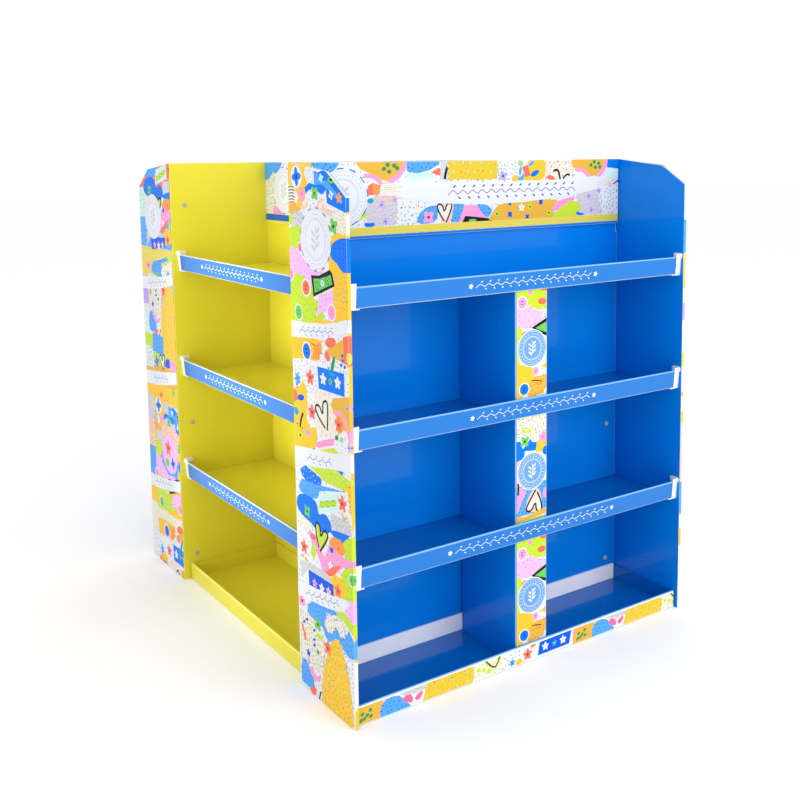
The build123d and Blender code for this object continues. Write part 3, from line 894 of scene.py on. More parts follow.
def collage_top(face, seal=True):
    """From the top edge down to the first brush band."""
    face.cut("gold", "0,1080 30,1084 55,1094 76,1114 88,1145 72,1165 90,1190 0,1190")
    face.tear("cream", "0,1088 34,1092 44,1112 30,1136 0,1140", 3)
    for i in range(7):
        face.lay(stroke([(-2, 1094 + 6.6 * i), (14 + 3 * (i % 3), 1096 + 6.6 * i),
                         (26 + 4 * (i % 2), 1093 + 6.8 * i)], 2.2), "pen")
    face.cut("ochre", "0,1104 16,1098 30,1104 44,1090 60,1100 48,1082 20,1076 0,1078")
    face.spot("white", 38, 1157, 25, 24)
    flower(face, 38, 1157, 21, "blue", "navy", 4, 0.1)
    flower(face, 61, 1120, 17, "pink", "rose", 5)
    face.cut("blue", "74,1134 96,1145 117,1141 117,1170 134,1166 158,1172 182,1163 250,1119 "
             "250,1086 210,1095 170,1104 167,1131 150,1121 136,1125 124,1134 95,1130 80,1122")
    face.cut("sky", "118,1140 118,1168 134,1164 150,1150 170,1150 235,1110 228,1104 168,1134 "
             "150,1142")
    flower(face, 118, 1123, 17, "green", "leaf", 4, 0.7)
    flower(face, 147, 1155, 10, "mint", "green", 4)
    face.spot("green", 188, 1151, 13, 6.5, -8)
    face.spot("pen", 188, 1152, 6, 2.8, -8)
    flower(face, 187, 1121, 10, "white", "pen", 4)
    flower(face, 219, 1116, 12, "orange", "ochre", 5)
    face.spot("salmon", 82, 1099, 9, 6, 50)
    face.spot("salmon", 66, 1092, 9, 5, -10)
    for u, v, turn in ((142, 1108, 20), (150, 1094, 60), (166, 1088, -20), (182, 1085, 15),
                       (130, 1094, 80)):
        face.spot("salmon", u, v, 12, 5, turn)
    face.tear("mist", "8,1044 20,1082 60,1084 76,1060 52,1040", 9, "pen marks")
    face.tear("cream", "186,1050 200,1086 245,1084 245,1044 212,1044", 10, "green strokes")
    face.cut("lime", "0,1045 20,1050 50,1054 54,1022 30,1000 0,1004", "olive dots")
    face.snip("lime", "4,1052 18,1056 18,1076 4,1078 -6,1064")
    face.cut("gold", "180,1036 215,1046 250,1040 250,870 185,868 182,900 188,935 170,962 176,990 "
             "180,1010")
    face.cut("gold", "186,962 236,966 250,940 250,896 222,884 206,900 210,930", "teal dashes")
    face.snip("blue", "176,1004 192,1026 226,1037 262,1036 262,968 226,966 206,984 186,990",
              "navy dots")
    flower(face, 195, 1058, 19, "green", "pen", 4, 0.5)
    face.cut("lilac", "0,1006 36,1001 60,984 100,962 152,968 150,950 116,934 92,924 60,944 0,950",
             "violet dots")
    face.cut("lime", "0,948 62,946 96,928 104,900 132,896 150,868 132,852 0,838", "olive dots")
    face.cut("lilac", "126,908 186,926 192,906 172,880 140,876 108,862 122,880", "violet dots")
    face.cut("gold", "80,850 132,858 182,864 250,880 250,864 160,846 84,842")
    face.spot("white", 48, 1006, 10, 12, 10)
    face.spot("rose", 48, 1006, 7.5, 9.5, 10)
    if seal:
        badge(face, 118, 1027, 67, "white", "haze")
        tick_ring(face, 118, 1027, 66, -150, 13, 2.6, "slate")
    face.cut("pen", "96,950 104,905 195,936 186,962 176,968 130,952")
    face.cut("green", "106,944 110,914 186,939 180,958 134,946")
    for i in range(3):
        flower(face, 122 + 22 * i, 930 + 7.5 * i, 10.5, "mint" if i == 1 else "green", "leaf", 6)
        face.lay(stroke(oval(122 + 22 * i, 930 + 7.5 * i, 9, 8, 0, 12), 1.3, 0), "pen")
    button(face, 71, 921, 16, "coral", "wine")
    button(face, 35, 864, 15, "green", "leaf", "cream", 5)
    button(face, 180, 880, 15, "pink", "rose", "white", 12)
    button(face, 2, 945, 13, "pink", "wine", "white", 8)


def collage_upper(face):
    """Between the first and the second brush band."""
    face.tear("gold", "0,758 60,764 112,768 132,790 138,816 60,814 0,806", 12, "brown dots")
    for i in range(6):
        face.lay(stroke([(82 + 8 * i, 806 - 2 * i), (96 + 7 * i, 801 - 2.5 * i),
                         (108 + 6 * i, 802 - 3 * i)], 1.8), "pen" if i % 2 else "coral")
    face.cut("orange", "92,770 122,772 134,800 128,812 104,800", "brown dots")
    button(face, 67, 783, 17, "blue", "navy", "white", 3)
    face.cut("ochre", "148,792 160,802 226,832 230,780 200,784 176,766")
    face.snip("coral", "146,812 160,804 182,806 200,822 176,832 156,822")
    face.cut("coral", "224,835 250,842 250,776 226,782")
    face.spot("straw", 243, 793, 7, 12)
    face.tear("white", "136,764 150,792 178,786 224,782 228,762", 14, "pen marks")
    face.spot("coral", 158, 785, 13, 9, -25)
    face.spot("leaf", 180, 770, 22, 6, 68)
    for u, v in ((220, 796), (221, 786), (229, 774), (215, 776)):
        face.spot("cobalt", u, v, 5, 3.6, 30, 10)
    face.cut("blue", "114,757 226,760 226,712 118,710")
    for u, v in ((138, 734), (199, 736)):
        flower(face, u, v, 14, "white", "haze", 5)
    flower(face, 169, 734, 9, "green", "pen", 5)
    face.pen("teal", "160,762 172,748 190,752", 6)
    flower(face, 80, 727, 19, "coral", "wine", 5)
    face.tear("white", "0,742 10,756 92,760 110,708 66,690 30,712", 15, "pen marks")
    flower(face, 80, 727, 19, "coral", "wine", 5)
    face.cut("gold", "0,690 30,700 46,716 63,700 66,662 60,632 78,616 102,622 108,600 96,575 0,552",
             )
    flower(face, 22, 716, 15, "sky", "cobalt", 6)
    face.pen("cobalt", "12,708 22,690 16,700 34,712", 2.4)
    face.cut("coral", "0,690 18,684 20,668 6,660 0,662")
    face.spot("cobalt", 35, 675, 16, 7, 12)
    face.spot("teal", 12, 640, 11, 9)
    face.pen("pen", "28,607 33,626 44,642", 7)
    face.spot("violet", 63, 602, 9, 8)
    face.spot("lime", 28, 589, 8, 7)
    face.spot("pen", 28, 589, 3.5, 3, 0, 10)
    for u, v in ((38, 606), (14, 612), (90, 572)):
        face.spot("green", u, v, 7, 3, 15, 10)
    face.tear("cream", "98,702 112,640 96,626 136,606 182,622 176,700 120,706", 17, "peach spots")
    flower(face, 85, 652, 18, "coral", "wine", 5)
    pen_heart(face, 136, 654, 30, 25)
    face.cut("ochre", "168,684 180,700 250,716 250,642 216,640 196,624 188,664")
    face.pen("pink", "186,672 212,674 232,658 246,618", 9)
    flower(face, 200, 648, 18, "coral", "wine", 5)
    face.cut("pink", "96,586 130,600 182,616 176,600 108,578", "rose strokes")
    face.cut("gold", "86,566 150,586 160,580 104,562")
    face.snip("lime", "126,566 158,592 192,592 206,580 170,568")
    for u, ink in ((190, "leaf"), (211, "sage")):
        face.spot(ink, u, 619, 7, 5.5, 20)
    for u, v in ((241, 609), (236, 690)):
        flower(face, u, v, 8, "violet", "pen", 4)


def collage_lower(face):
    """Between the second and the third brush band."""
    face.cut("lime", "64,527 122,540 176,550 250,538 250,512 180,511 130,511 98,520", "white dots")
    face.cut("blue", "186,550 218,560 210,542")
    face.tear("blue", "24,512 50,526 92,520 120,511 120,498 88,492 50,490 30,500",
              21, "white dots")
    face.cut("sky", "14,470 30,491 88,493 122,498 166,504 222,511 150,494 112,484 100,464 60,454 "
             "22,460", "navy dots")
    face.cut("mint", "98,436 108,480 188,498 192,456")
    face.cut("lime", "106,444 110,460 182,484 184,470")
    for i in range(3):
        face.lay(stroke(oval(120 + 25 * i, 457 + 8 * i, 8, 6, 15, 10), 1.6, 0), "leaf")
    flower(face, 208, 482, 19, "coral", "wine", 5)
    face.pen("ochre", "204,460 214,450 226,458", 6)
    face.cut("gold", "228,530 250,534 250,462 240,470 234,500", "pen dashes")
    face.snip("blue", "0,424 10,452 60,462 100,454 102,426 132,442 162,424 158,402 96,390 70,400 "
              "20,408", "navy dots")
    flower(face, 52, 422, 16, "green", "pen", 4, 0.7)
    face.tear("mist", "160,448 236,452 246,422 186,416 158,420", 23, "grey marks")
    face.cut("blue", "148,408 180,416 236,422 226,410 202,394 184,394 162,402")
    face.snip("lime", "202,398 250,426 262,380 250,338 226,352 212,374", "olive dots")
    face.cut("orange", "148,385 168,400 200,401 218,384 206,368 168,368 154,376")
    flower(face, 188, 380, 6, "coral", "pen", 5)
    face.cut("pink", "54,374 64,382 96,370 112,350 130,342 150,382 160,374 200,366 250,370 "
             "246,350 208,346 182,326 152,308 120,306 100,330 88,350 70,362", "violet dots")
    face.spot("rose", 76, 371, 14, 7, 15)
    pen_heart(face, 112, 378, 29, -12, "pen", "lime")
    face.spot("cobalt", 159, 367, 8, 6)
    flower(face, 152, 330, 11, "white", "haze", 5)
    face.cut("coral", "128,308 160,330 198,346 168,314 146,304")
    flower(face, 33, 335, 18, "coral", "wine", 5)
    face.spot("sage", 24, 312, 9, 4, 20)
    face.spot("ochre", 42, 308, 9, 4, -10)
    face.cut("lime", "66,366 92,340 78,318 64,330 70,350")
    face.tear("mist", "16,258 16,300 110,308 150,300 146,290 50,290", 25, "green strokes")
    face.tear("cream", "10,392 22,408 84,396 58,378 20,380", 26, "green strokes")
    face.cut("gold", "148,298 168,316 200,317 217,305 216,278 160,268 164,290")
    flower(face, 183, 285, 16, "coral", "wine", 5)
    face.cut("lime", "194,324 216,346 250,358 250,284 216,276 216,306", "olive dots")
    button(face, 243, 328, 12, "green", "pen", "white", 80)
    face.cut("cobalt", "52,288 164,291 164,266 120,259 54,252")
    flower(face, 80, 266, 11, "pink", "rose")
    flower(face, 112, 266, 12, "white", "straw")
    flower(face, 142, 269, 11, "salmon", "rose")


def collage_bottom(face):
    """Below the third brush band: dotted blue, a pale tangle, and the tall gold cone."""
    face.cut("lilac", "208,244 226,240 250,226 250,288 232,278", "violet dots")
    face.cut("lime", "164,236 186,228 210,224 250,206 250,230 226,240 205,247")
    face.cut("sky", "42,190 46,206 66,219 120,227 166,237 182,230 152,221 126,216 130,196 126,180 "
             "150,176 172,196 186,206 200,190 216,200 226,212 250,190 250,158 226,154 205,160 "
             "185,175 165,170 140,154 124,160 114,176 80,180 55,182", "navy dots")
    face.tear("cream", "122,190 134,214 164,214 204,228 210,190 190,186 172,200 150,180 134,176",
              31, "pen marks")
    face.tear("cream", "8,60 12,182 60,182 116,158 120,128 108,70 60,62",
              32, "green strokes", "pen marks")
    flower(face, 90, 175, 17, "green", "pen", 4, 0.6)
    face.spot("lime", 95, 149, 17, 5, 8)
    face.spot("pink", 17, 203, 15, 12)
    face.spot("wine", 17, 203, 5, 4, 0, 10)
    for u, v in ((40, 168), (72, 133), (72, 120), (73, 155), (26, 158)):
        face.spot("cobalt", u, v, 7, 3.4, 25, 10)
    face.spot("coral", 19, 142, 5, 9, 20)
    face.spot("coral", 28, 126, 6, 12, 15)
    flower(face, 43, 91, 10, "cobalt", "navy", 5)
    face.spot("leaf", 88, 110, 6, 5)
    face.spot("violet", 43, 72, 5, 9, 5)
    face.snip("gold", "100,-12 106,60 124,110 144,150 164,172 178,176 192,166 206,140 222,104 "
              "232,60 240,-12", "green leaves", "pink leaves", rounds=1)
    face.tear("white", "212,152 246,150 246,40 234,60 224,104", 34, "pen marks")
    flower(face, 133, 138, 17, "coral", "wine", 5)
    face.snip("sky", "6,8 8,62 32,74 48,50 68,34 62,14 32,8", "navy dots")
    face.cut("pink", "44,58 60,64 73,47 98,60 92,42 70,38 54,44")
    face.cut("coral", "44,8 64,20 77,20 72,4 62,-2")
    face.pen("pen", "88,0 91,10 97,22", 5)
    face.cut("mint", "0,0 40,0 30,10 4,10")


collage_top(near)
collage_upper(near)
collage_lower(near)
collage_bottom(near)
band(near, [(-3, 805), (70, 812), (150, 822), (200, 832), (248, 847), (248, 874), (200, 862),
            (150, 853), (80, 846), (-3, 842)], 41, (112, 832, 150, 16))
band(near, [(-3, 525), (60, 528), (120, 537), (180, 549), (248, 556), (248, 598), (180, 583),
            (100, 572), (-3, 560)], 42, (112, 552, 110, 14))
band(near, [(-3, 212), (60, 219), (120, 227), (168, 236), (208, 247), (232, 274), (215, 277),
            (165, 267), (120, 261), (60, 254), (-3, 247)], 43, (112, 243, 150, 26))
print("near end wall: pieces of print", len(near.laid))

# %% [markdown]
# ## The second end wall
# The wall on the other side of the narrow bay is cut from the same run of print, further along: its
# front edge is on the left and its crease on the right. The near wall's fields are laid shifted, a
# stretch that only this wall shows fills the gap between them, and the bands and the seal go last.

# %% Compose the far end wall
FAR_OUTLINE = [(0.4, 0.4), (244.4, 0.4), (244.4, 1185.4), (80, 1169.5), (71, 1165), (0.4, 1117.5)]
far = PrintFace("far_end_wall_print", (low_corner.x, high_corner.y, 0), (0, -1, 0), FAR_OUTLINE)
STRETCHES = (("white", "pen marks"), ("cream", "green strokes"), ("gold", "brown dots"),
             ("sky", "navy dots"), ("salmon", "pen marks"),
             ("mist", "grey marks"), ("ochre", "brown dots"), ("lime", "olive dots"),
             ("white", "green leaves"), ("violet", "violet dots"),
             ("straw", "pink leaves"), ("sky", "white dots"), ("mint", "grey marks"),
             ("coral", "white dots"))


def far_middle(face):
    """The part of the run that only this wall shows."""
    face.cut("gold", "-4,504 -4,536 92,542 250,552 250,498 100,500", "brown dots")
    face.tear("white", "-4,584 -4,652 62,646 72,588", 56, "green leaves", "pen marks")
    face.cut("gold", "150,640 150,692 250,700 250,634 200,634", "green leaves", "pink leaves")
    face.cut("sky", "62,640 66,694 152,690 148,634", "navy dots")
    face.spot("coral", 116, 516, 14, 8, 12)
    flower(face, 92, 612, 18, "blue", "rose", 4)
    pen_heart(face, 140, 616, 22, 10)
    face.snip("cobalt", "156,602 164,630 196,634 204,608")
    face.cut("pink", "198,604 196,630 230,632 250,620 250,600")
    flower(face, 218, 540, 14, "green", "leaf", 6)
    face.spot("lilac", 170, 350, 57, 57, marks=("violet dots",))
    flower(face, 158, 366, 24, "coral", "wine", 5)
    flower(face, 192, 328, 17, "blue", "navy", 4)
    button(face, 148, 322, 12, "green", "leaf", "lime")


STRETCH_TALL = 86
for i, (ink, mark) in enumerate(STRETCHES):
    low_v = STRETCH_TALL * i
    far.lay([torn([(-4, low_v), (-4, low_v + 92), (120, low_v + 90), (250, low_v + 104),
                   (250, low_v), (130, low_v)], 50 + i)], ink, (mark,))
far.shift = (35, 688)
collage_lower(far)
collage_bottom(far)
far.shift = (52, -677)
collage_top(far, seal=False)
collage_upper(far)
far.shift = (0, 0)
far_middle(far)
badge(far, 108, 1035, 64, "white", "haze")
band(far, [(-3, 817), (60, 822), (120, 828), (180, 838), (248, 851), (248, 882), (160, 866),
           (80, 860), (-3, 856)], 71, (120, 846, 150, 16))
band(far, [(-3, 533), (80, 540), (160, 552), (248, 569), (248, 604), (160, 590), (80, 581),
           (-3, 572)], 72, (120, 566, 120, 14))
band(far, [(-3, 218), (80, 226), (160, 238), (248, 257), (248, 288), (160, 271), (80, 262),
           (-3, 253)], 73, (115, 250, 150, 22))
print("far end wall: pieces of print", len(far.laid))

# %% [markdown]
# ### Print round the front edges
# The printed sheet is folded round the wall's front edge, so that no raw board shows to a buyer.
# Each strip is the wall's own print carried on past the fold, mirrored.

# %% Carry the print round the edges
EDGE_WIDE, EDGE_TALL = 8.3, 1117.0


def edge_print(name, source, corner_x, reach):
    strip = PrintFace(name, (corner_x, low_corner.y, 0), (1, 0, 0),
                      [(0.1, 0.4), (EDGE_WIDE - 0.1, 0.4), (EDGE_WIDE - 0.1, EDGE_TALL),
                       (0.1, EDGE_TALL)])
    for shape, ink, _ in source.laid:
        strip.lay([[(reach - u, v) for u, v in shape]], ink)
    return strip


near_edge = edge_print("near_edge_print", near, low_corner.x, 244.8)
far_edge = edge_print("far_edge_print", far, -low_corner.x - EDGE_WIDE * MM, EDGE_WIDE)
near_edge.base = "gold"
print("edge pieces of print:", len(near_edge.laid), len(far_edge.laid))

# %% [markdown]
# ## Headers, tray lips and dividers
# The header is one long strip: a coloured rule along its foot, a seal at its left end and a long
# white brush band over the collage. The narrow bay's header is the same strip cut shorter, with
# its rule in blue. The base tray's lip and the dividers are cut from the same fields.

# %% Compose the strips
def strip_fields(face, start_ink, start_marks):
    """The header's collage, from its left end."""
    face.tear(start_ink, "0,24 0,173 60,173 64,120 54,60 70,24", 81, *start_marks)
    face.cut("sky", "36,173 60,140 92,150 110,173", "navy dots")
    face.cut("pink", "44,25 52,50 96,44 120,25", "violet dots")
    face.cut("lime", "124,25 176,48 180,66 160,66 146,44", "white dots")
    face.snip("ochre", "146,180 160,158 180,150 214,134 242,126 266,134 284,156 298,180", rounds=1)
    face.pen("pink", "172,142 200,141 222,118 236,110 280,109 300,108", 10)
    face.pen("pink", "238,126 262,136 280,156 293,178", 12)
    for u, v in ((226, 157), (240, 150), (236, 166), (254, 164), (262, 158)):
        face.spot("leaf", u, v, 6, 5, 0, 12)
    face.cut("orange", "182,97 181,118 195,126 214,120 242,104 206,98")
    face.cut("coral", "182,97 181,118 194,124 196,100")
    face.cut("mint", "282,145 350,148 372,134 300,127")
    face.cut("sky", "289,180 289,150 320,145 352,152 382,166 382,180", "navy dots")
    face.cut("coral", "358,147 380,158 391,150 388,137 372,141")
    face.tear("mist", "384,128 384,173 412,173 412,128", 82)
    face.pen("pen", "397,130 400,146 407,162", 7)
    face.tear("gold", "408,180 410,128 450,127 556,126 562,180",
              83, "green leaves", "pink leaves", rough=2.4)
    face.tear("white", "562,126 562,173 632,173 634,126", 84, "pen marks", "violet dots")
    flower(face, 576, 134, 15, "violet", "navy", 4, 0.5)
    face.spot("sage", 633, 165, 9, 8)
    face.snip("gold", "604,120 610,138 634,132 650,146 660,176 716,180 720,122 650,118", rounds=1)
    face.cut("coral", "638,156 656,161 666,134 648,130")
    face.spot("blue", 680, 139, 15, 7, 24)
    for u, v, turn in ((668, 164, 30), (632, 146, 80), (640, 130, 60), (633, 127, 10)):
        face.spot("sky", u, v, 11, 4.5, turn)
    face.tear("cream", "716,124 716,173 806,173 812,124", 85, "peach spots", "green strokes")
    face.spot("coral", 734, 127, 14, 6, -12)
    face.pen("pen", "744,145 760,148 766,124", 6)
    face.pen("pen", "776,124 790,136 800,132", 5)
    face.snip("ochre", "806,182 808,150 836,150 856,132 892,128 916,142 934,182", rounds=1)
    face.pen("pink", "820,146 846,146 862,132 872,128", 9)
    face.pen("pink", "896,124 916,138 930,156 940,180", 13)
    for u, v in ((876, 158), (888, 166), (892, 152), (904, 162), (908, 152)):
        face.spot("leaf", u, v, 6, 5, 0, 12)
    face.cut("blue", "936,180 936,151 984,146 984,180", "navy dots")
    face.cut("mint", "926,140 946,150 984,146 984,116 948,118")
    face.pen("salmon", "898,108 936,112 966,118", 7)
    face.pen("cobalt", "944,98 962,104 980,116", 8)
    face.tear("mist", "822,26 826,82 900,94 918,26", 86, "rose strokes")
    for u, v in ((869, 76), (878, 38), (906, 89)):
        flower(face, u, v, 9, "violet", "pen", 4)
    face.tear("white", "916,26 912,92 946,104 984,110 984,26", 87, "green leaves", "pink leaves")
    face.tear("white", "258,26 260,72 330,74 346,66 320,46 312,26",
              88, "green leaves", "pink leaves")
    face.tear("mist", "178,26 176,70 200,98 262,96 262,70 256,26", 89, "rose strokes")
    for u, v in ((218, 75), (228, 36), (254, 86)):
        flower(face, u, v, 9, "violet", "pen", 4)
    face.snip("blue", "170,26 172,37 184,34 198,36 198,25", rounds=1)
    face.spot("teal", 188, 85, 9, 6, 5)
    face.snip("sky", "312,26 322,50 344,66 378,70 374,26", "navy dots", rounds=1)
    flower(face, 349, 41, 18, "pink", "wine", 4, 0.7)
    face.cut("salmon", "374,70 424,70 412,26 386,26")
    pen_heart(face, 397, 50, 23, 4)
    face.cut("sky", "424,70 456,70 444,26 414,26", "navy dots")
    face.cut("pink", "438,26 456,66 492,66 506,50 528,26")
    face.snip("sky", "492,68 524,66 544,50 526,30 506,48", "navy dots", rounds=1)
    face.cut("pen", "448,24 458,40 540,30 542,24")
    face.spot("green", 480, 28, 12, 3.5, 0)
    face.snip("ochre", "524,20 546,50 566,68 744,74 768,60 738,46 756,20", rounds=1)
    for u, v, ink in ((556, 41, "lime"), (664, 55, "lime"), (728, 37, "lime")):
        face.spot(ink, u, v, 8, 6.5)
        face.spot("pen", u, v, 3, 2.6, 0, 10)
    for u, v, size in ((598, 38, 9), (598, 64, 6), (700, 66, 9), (655, 30, 8)):
        flower(face, u, v, size, "cobalt", "navy", 4, 0.7)
    flower(face, 636, 54, 11, "white", "straw", 5)
    face.cut("pink", "734,46 758,66 818,78 816,68 790,58 752,40", "rose strokes")
    face.snip("lime", "732,20 756,42 800,66 826,64 842,48 822,20", rounds=1)
    face.snip("blue", "822,28 826,38 840,32 852,32 848,25", rounds=1)


def long_brush(face, end):
    """A white brush band with dry bristle marks where it starts and ends."""
    stop = min(952, end - 26)
    mid = (214 + stop) / 2
    face.lay([torn([(214, 100), (300, 84), (400, 71), (mid - 60, 66), (mid + 60, 67),
                    (stop - 150, 78),
                    (stop - 60, 94), (stop, 115), (stop - 20, 125), (stop - 90, 128),
                    (stop - 200, 121),
                    (mid, 121), (400, 122), (300, 127), (216, 122)], 91, 0.9, 16.0)], "white")
    draw = random.Random(92)
    for i in range(9):
        v = 84 + 5 * i
        start = 206 + draw.uniform(0, 24)
        face.lay(stroke([(start, v), (start + draw.uniform(26, 60), v + 1)],
                        draw.uniform(1.0, 2.2)), draw.choice(("salmon", "mist", "gold")))
    for i in range(5):
        v = 100 + 5 * i
        face.lay(stroke([(stop - 56 + 4 * i, v), (stop - 8, v + 5)], 1.5),
                 draw.choice(("salmon", "sky", "mist")))
    garland(face, mid + 30, 98, (stop - 214) * 0.56, 15, "script", 0.0, 2.0, 30.0)


def header_print(name, node, along, rule_ink, foot_ink, start_ink, start_marks):
    low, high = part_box(node)
    size = (high - low) / MM
    length = size.x if abs(along[0]) else size.y
    tall = size.z
    corner = (low.x, low.y, low.z) if abs(along[0]) else (low.x, high.y, low.z)
    outline = [(0.4, 0.4), (length - 0.4, 0.4), (length - 0.4, tall - 0.4), (0.4, tall - 0.4)]
    face = PrintFace(name, corner, along, outline)
    strip_fields(face, start_ink, start_marks)
    long_brush(face, length)
    tick_ring(face, 116, 94, 65, 8, 17, 3, "cobalt")
    badge(face, 116, 94, 64, "white", "haze")
    face.lay([[(0, 7), (length, 7), (length, 25), (0, 25)]], rule_ink)
    face.lay([[(0, 0), (length, 0), (length, 6.2), (0, 6.2)]], foot_ink)
    return face


wide_header = header_print("wide_header_print", "front_header", (1, 0, 0), "straw", "foot_blue",
                           "gold", ("green leaves", "pink leaves"))
narrow_header = header_print("narrow_header_print", "left_header", (0, -1, 0), "rule_blue",
                             "foot_yellow",
                             "cream", ("green strokes", "navy dots"))
narrow_header.cut("sky", "0,120 0,173 52,173 58,150 30,128", "navy dots")
narrow_header.spot("mint", 18, 60, 12, 20, 10)
print("header pieces of print", len(wide_header.laid), len(narrow_header.laid))

# %% [markdown]
# ### Tray lip and dividers
# The tray's lip is a low strip under the wide bay. The dividers are narrow posts with a blue seal
# in the middle of each; the top and bottom posts share one print and the middle one has another.

# %% Compose the tray lip and the dividers
LIP_FLAT_LOW, LIP_FLAT_HIGH = 3.0, 41.6     # the lip's flat part, between its two folds
LIP_REPEAT = 622.0       # the lip's print starts again here


def lip_fields(face):
    """The tray lip's collage: one stretch twice, and what lies between."""
    for start in (0.0, LIP_REPEAT):
        face.shift = (start, 0)
        face.cut("ochre", "-10,-4 -10,50 60,50 63,34 50,-4")
        for u, v in ((10, 25), (15, 14), (30, 29), (31, 15), (22, 20), (6, 12)):
            face.spot("leaf", u, v, 5, 4, 30, 10)
        face.cut("lilac", "56,50 62,37 100,42 108,50")
        face.tear("mist", "96,50 100,40 126,28 176,30 182,50", 101, "grey marks")
        face.snip("sky", "52,-6 56,28 70,40 96,40 112,30 126,14 138,-6", "navy dots", rounds=1)
        face.snip("rose", "110,24 122,34 138,26 140,10 124,14", rounds=1)
        face.snip("rose", "144,20 160,30 167,25 156,10 145,13", rounds=1)
        face.tear("gold", "164,-4 172,30 186,50 302,50 308,24 302,-4", 102,
                  "green leaves", "pink leaves", rough=1.2)
        face.tear("cream", "308,-4 306,50 394,50 396,-4", 103, "green strokes")
        for u, v in ((320, 27), (336, 22), (351, 15)):
            face.spot("lime", u, v, 6, 5)
        face.pen("lime", "338,42 350,28 370,16 380,30 386,44", 5)
        face.pen("pen", "340,44 352,30 368,18 376,28 383,44", 3.2)
    face.shift = (0, 0)
    face.tear("white", "392,-4 392,50 456,50 462,-4", 104, "pen marks")
    flower(face, 420, 14, 10, "sky", "cobalt", 6)
    face.spot("gold", 440, 10, 10, 8)
    flower(face, 467, 21, 15, "coral", "wine", 5)
    face.spot("orange", 484, 38, 9, 5)
    face.cut("cobalt", "499,8 505,40 608,42 600,9")
    for u in (523, 580):
        flower(face, u, 25, 11, "white", "haze", 5)
    flower(face, 552, 25, 9, "teal", "lime", 5)
    button(face, 618, 30, 5, "pink", "wine", "ochre")


low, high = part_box("front_base_tray")
LIP_GAP = 3.8 * MM       # the floor is that much longer than the lip at each end
lip_length = (high.x - low.x - 2 * LIP_GAP) / MM
tray_lip = PrintFace(
    "tray_lip_print", (low.x + LIP_GAP, low.y, 0), (1, 0, 0),
    [(0.3, LIP_FLAT_LOW), (lip_length - 0.3, LIP_FLAT_LOW), (lip_length - 0.3, LIP_FLAT_HIGH),
     (0.3, LIP_FLAT_HIGH)])
lip_fields(tray_lip)


def post_one(face):
    face.cut("lime", "0,204 0,300 97,300 97,240 60,243 40,256", "olive dots")
    face.cut("lilac", "-4,206 -4,252 24,250 46,254 62,243 84,236 101,226 76,214 50,200 20,203",
             "violet dots")
    button(face, 20, 262, 13, "pink", "wine")
    face.spot("pink", 44, 285, 7, 6)
    face.spot("coral", 80, 261, 13, 8, -5)
    face.spot("coral", 86, 291, 12, 6, -10)
    face.lay([slab(83, 235, 9, 22, 5)], "mist")
    face.cut("lime", "-4,108 -4,208 16,205 24,190 8,150 14,118")
    face.cut("pen", "48,202 101,224 101,176 80,184")
    face.cut("green", "60,200 101,215 101,184 84,190")
    face.cut("gold", "-4,40 -4,122 40,114 64,100 52,80 34,70 22,40")
    face.cut("gold", "76,108 101,120 101,96")
    face.tear("white", "64,108 101,102 101,84 80,86", 111, "grey marks")
    face.tear("ochre", "40,74 60,86 92,88 99,70 84,44 40,38 30,52", 112, "brown dots")
    face.pen("pen", "50,78 66,76 80,72", 2.4)
    face.pen("coral", "60,70 70,66 78,66", 2.4)
    button(face, 26, 60, 13, "blue", "navy")
    button(face, 61, 99, 8, "pink", "wine", "lilac")
    face.tear("cream", "0,4 0,40 97,40 97,4", 113, "pen marks")
    flower(face, 40, 20, 14, "coral", "wine", 5)
    face.spot("coral", 26, 190, 9, 5, 30)
    badge(face, 50, 154, 44, "badge_ring", "badge", 0)
    badge(face, 50, 154, 42, "badge", "white", 26)


def post_two(face):
    face.tear("cream", "0,232 0,300 97,300 97,236", 114, "pen marks", "green strokes")
    for u, v in ((24, 257), (41, 254)):
        face.spot("lime", u, v, 7, 5.5, 10)
    face.cut("blue", "-4,186 -4,234 14,234 22,214 44,234 52,226 68,224 64,204 28,208 25,186")
    flower(face, 28, 231, 15, "green", "pen", 4, 0.7)
    face.cut("gold", "60,198 66,226 86,240 101,264 101,214 80,198")
    flower(face, 83, 234, 15, "pink", "rose", 5)
    face.spot("blue", 92, 200, 10, 11)
    face.tear("salmon", "0,126 0,186 30,190 20,120", 115, "grey marks")
    face.tear("sky", "0,52 0,126 97,128 97,56", 116, "navy dots")
    face.cut("pink", "0,70 8,126 26,120 32,108 18,88 6,62")
    face.pen("pen", "7,134 9,120 7,106", 5)
    face.snip("salmon", "28,66 38,96 62,118 78,100 80,58 58,54", rounds=1)
    pen_heart(face, 59, 82, 26, 172)
    face.spot("pink", 93, 96, 9, 13)
    face.cut("ochre", "-4,38 101,48 101,62 60,56 30,50 -4,56")
    face.tear("lime", "0,2 0,38 97,44 97,2", 117, "olive dots")
    badge(face, 50, 157, 45, "badge_ring", "badge", 0)
    badge(face, 50, 157, 43, "badge", "white", 26)


POST_FOLD = 3.2          # a divider's rounded corner
posts = []
for number in (1, 2, 3):
    low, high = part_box(f"front_divider_{number}")
    across, tall = (high.x - low.x) / MM, (high.z - low.z) / MM
    post = PrintFace(
        f"divider_{number}_print", (low.x, low.y, low.z), (1, 0, 0),
        [(POST_FOLD, 0.4), (across - POST_FOLD, 0.4), (across - POST_FOLD, tall - 0.4),
         (POST_FOLD, tall - 0.4)])
    (post_two if number == 2 else post_one)(post)
    posts.append(post)
print("tray lip and divider pieces", len(tray_lip.laid), [len(p.laid) for p in posts])

# %% [markdown]
# ### Vines on the shelf lips
# The blue lips carry one line of white print each. A plain vine stands there. The lips lean out a
# little, so this print leans with them.

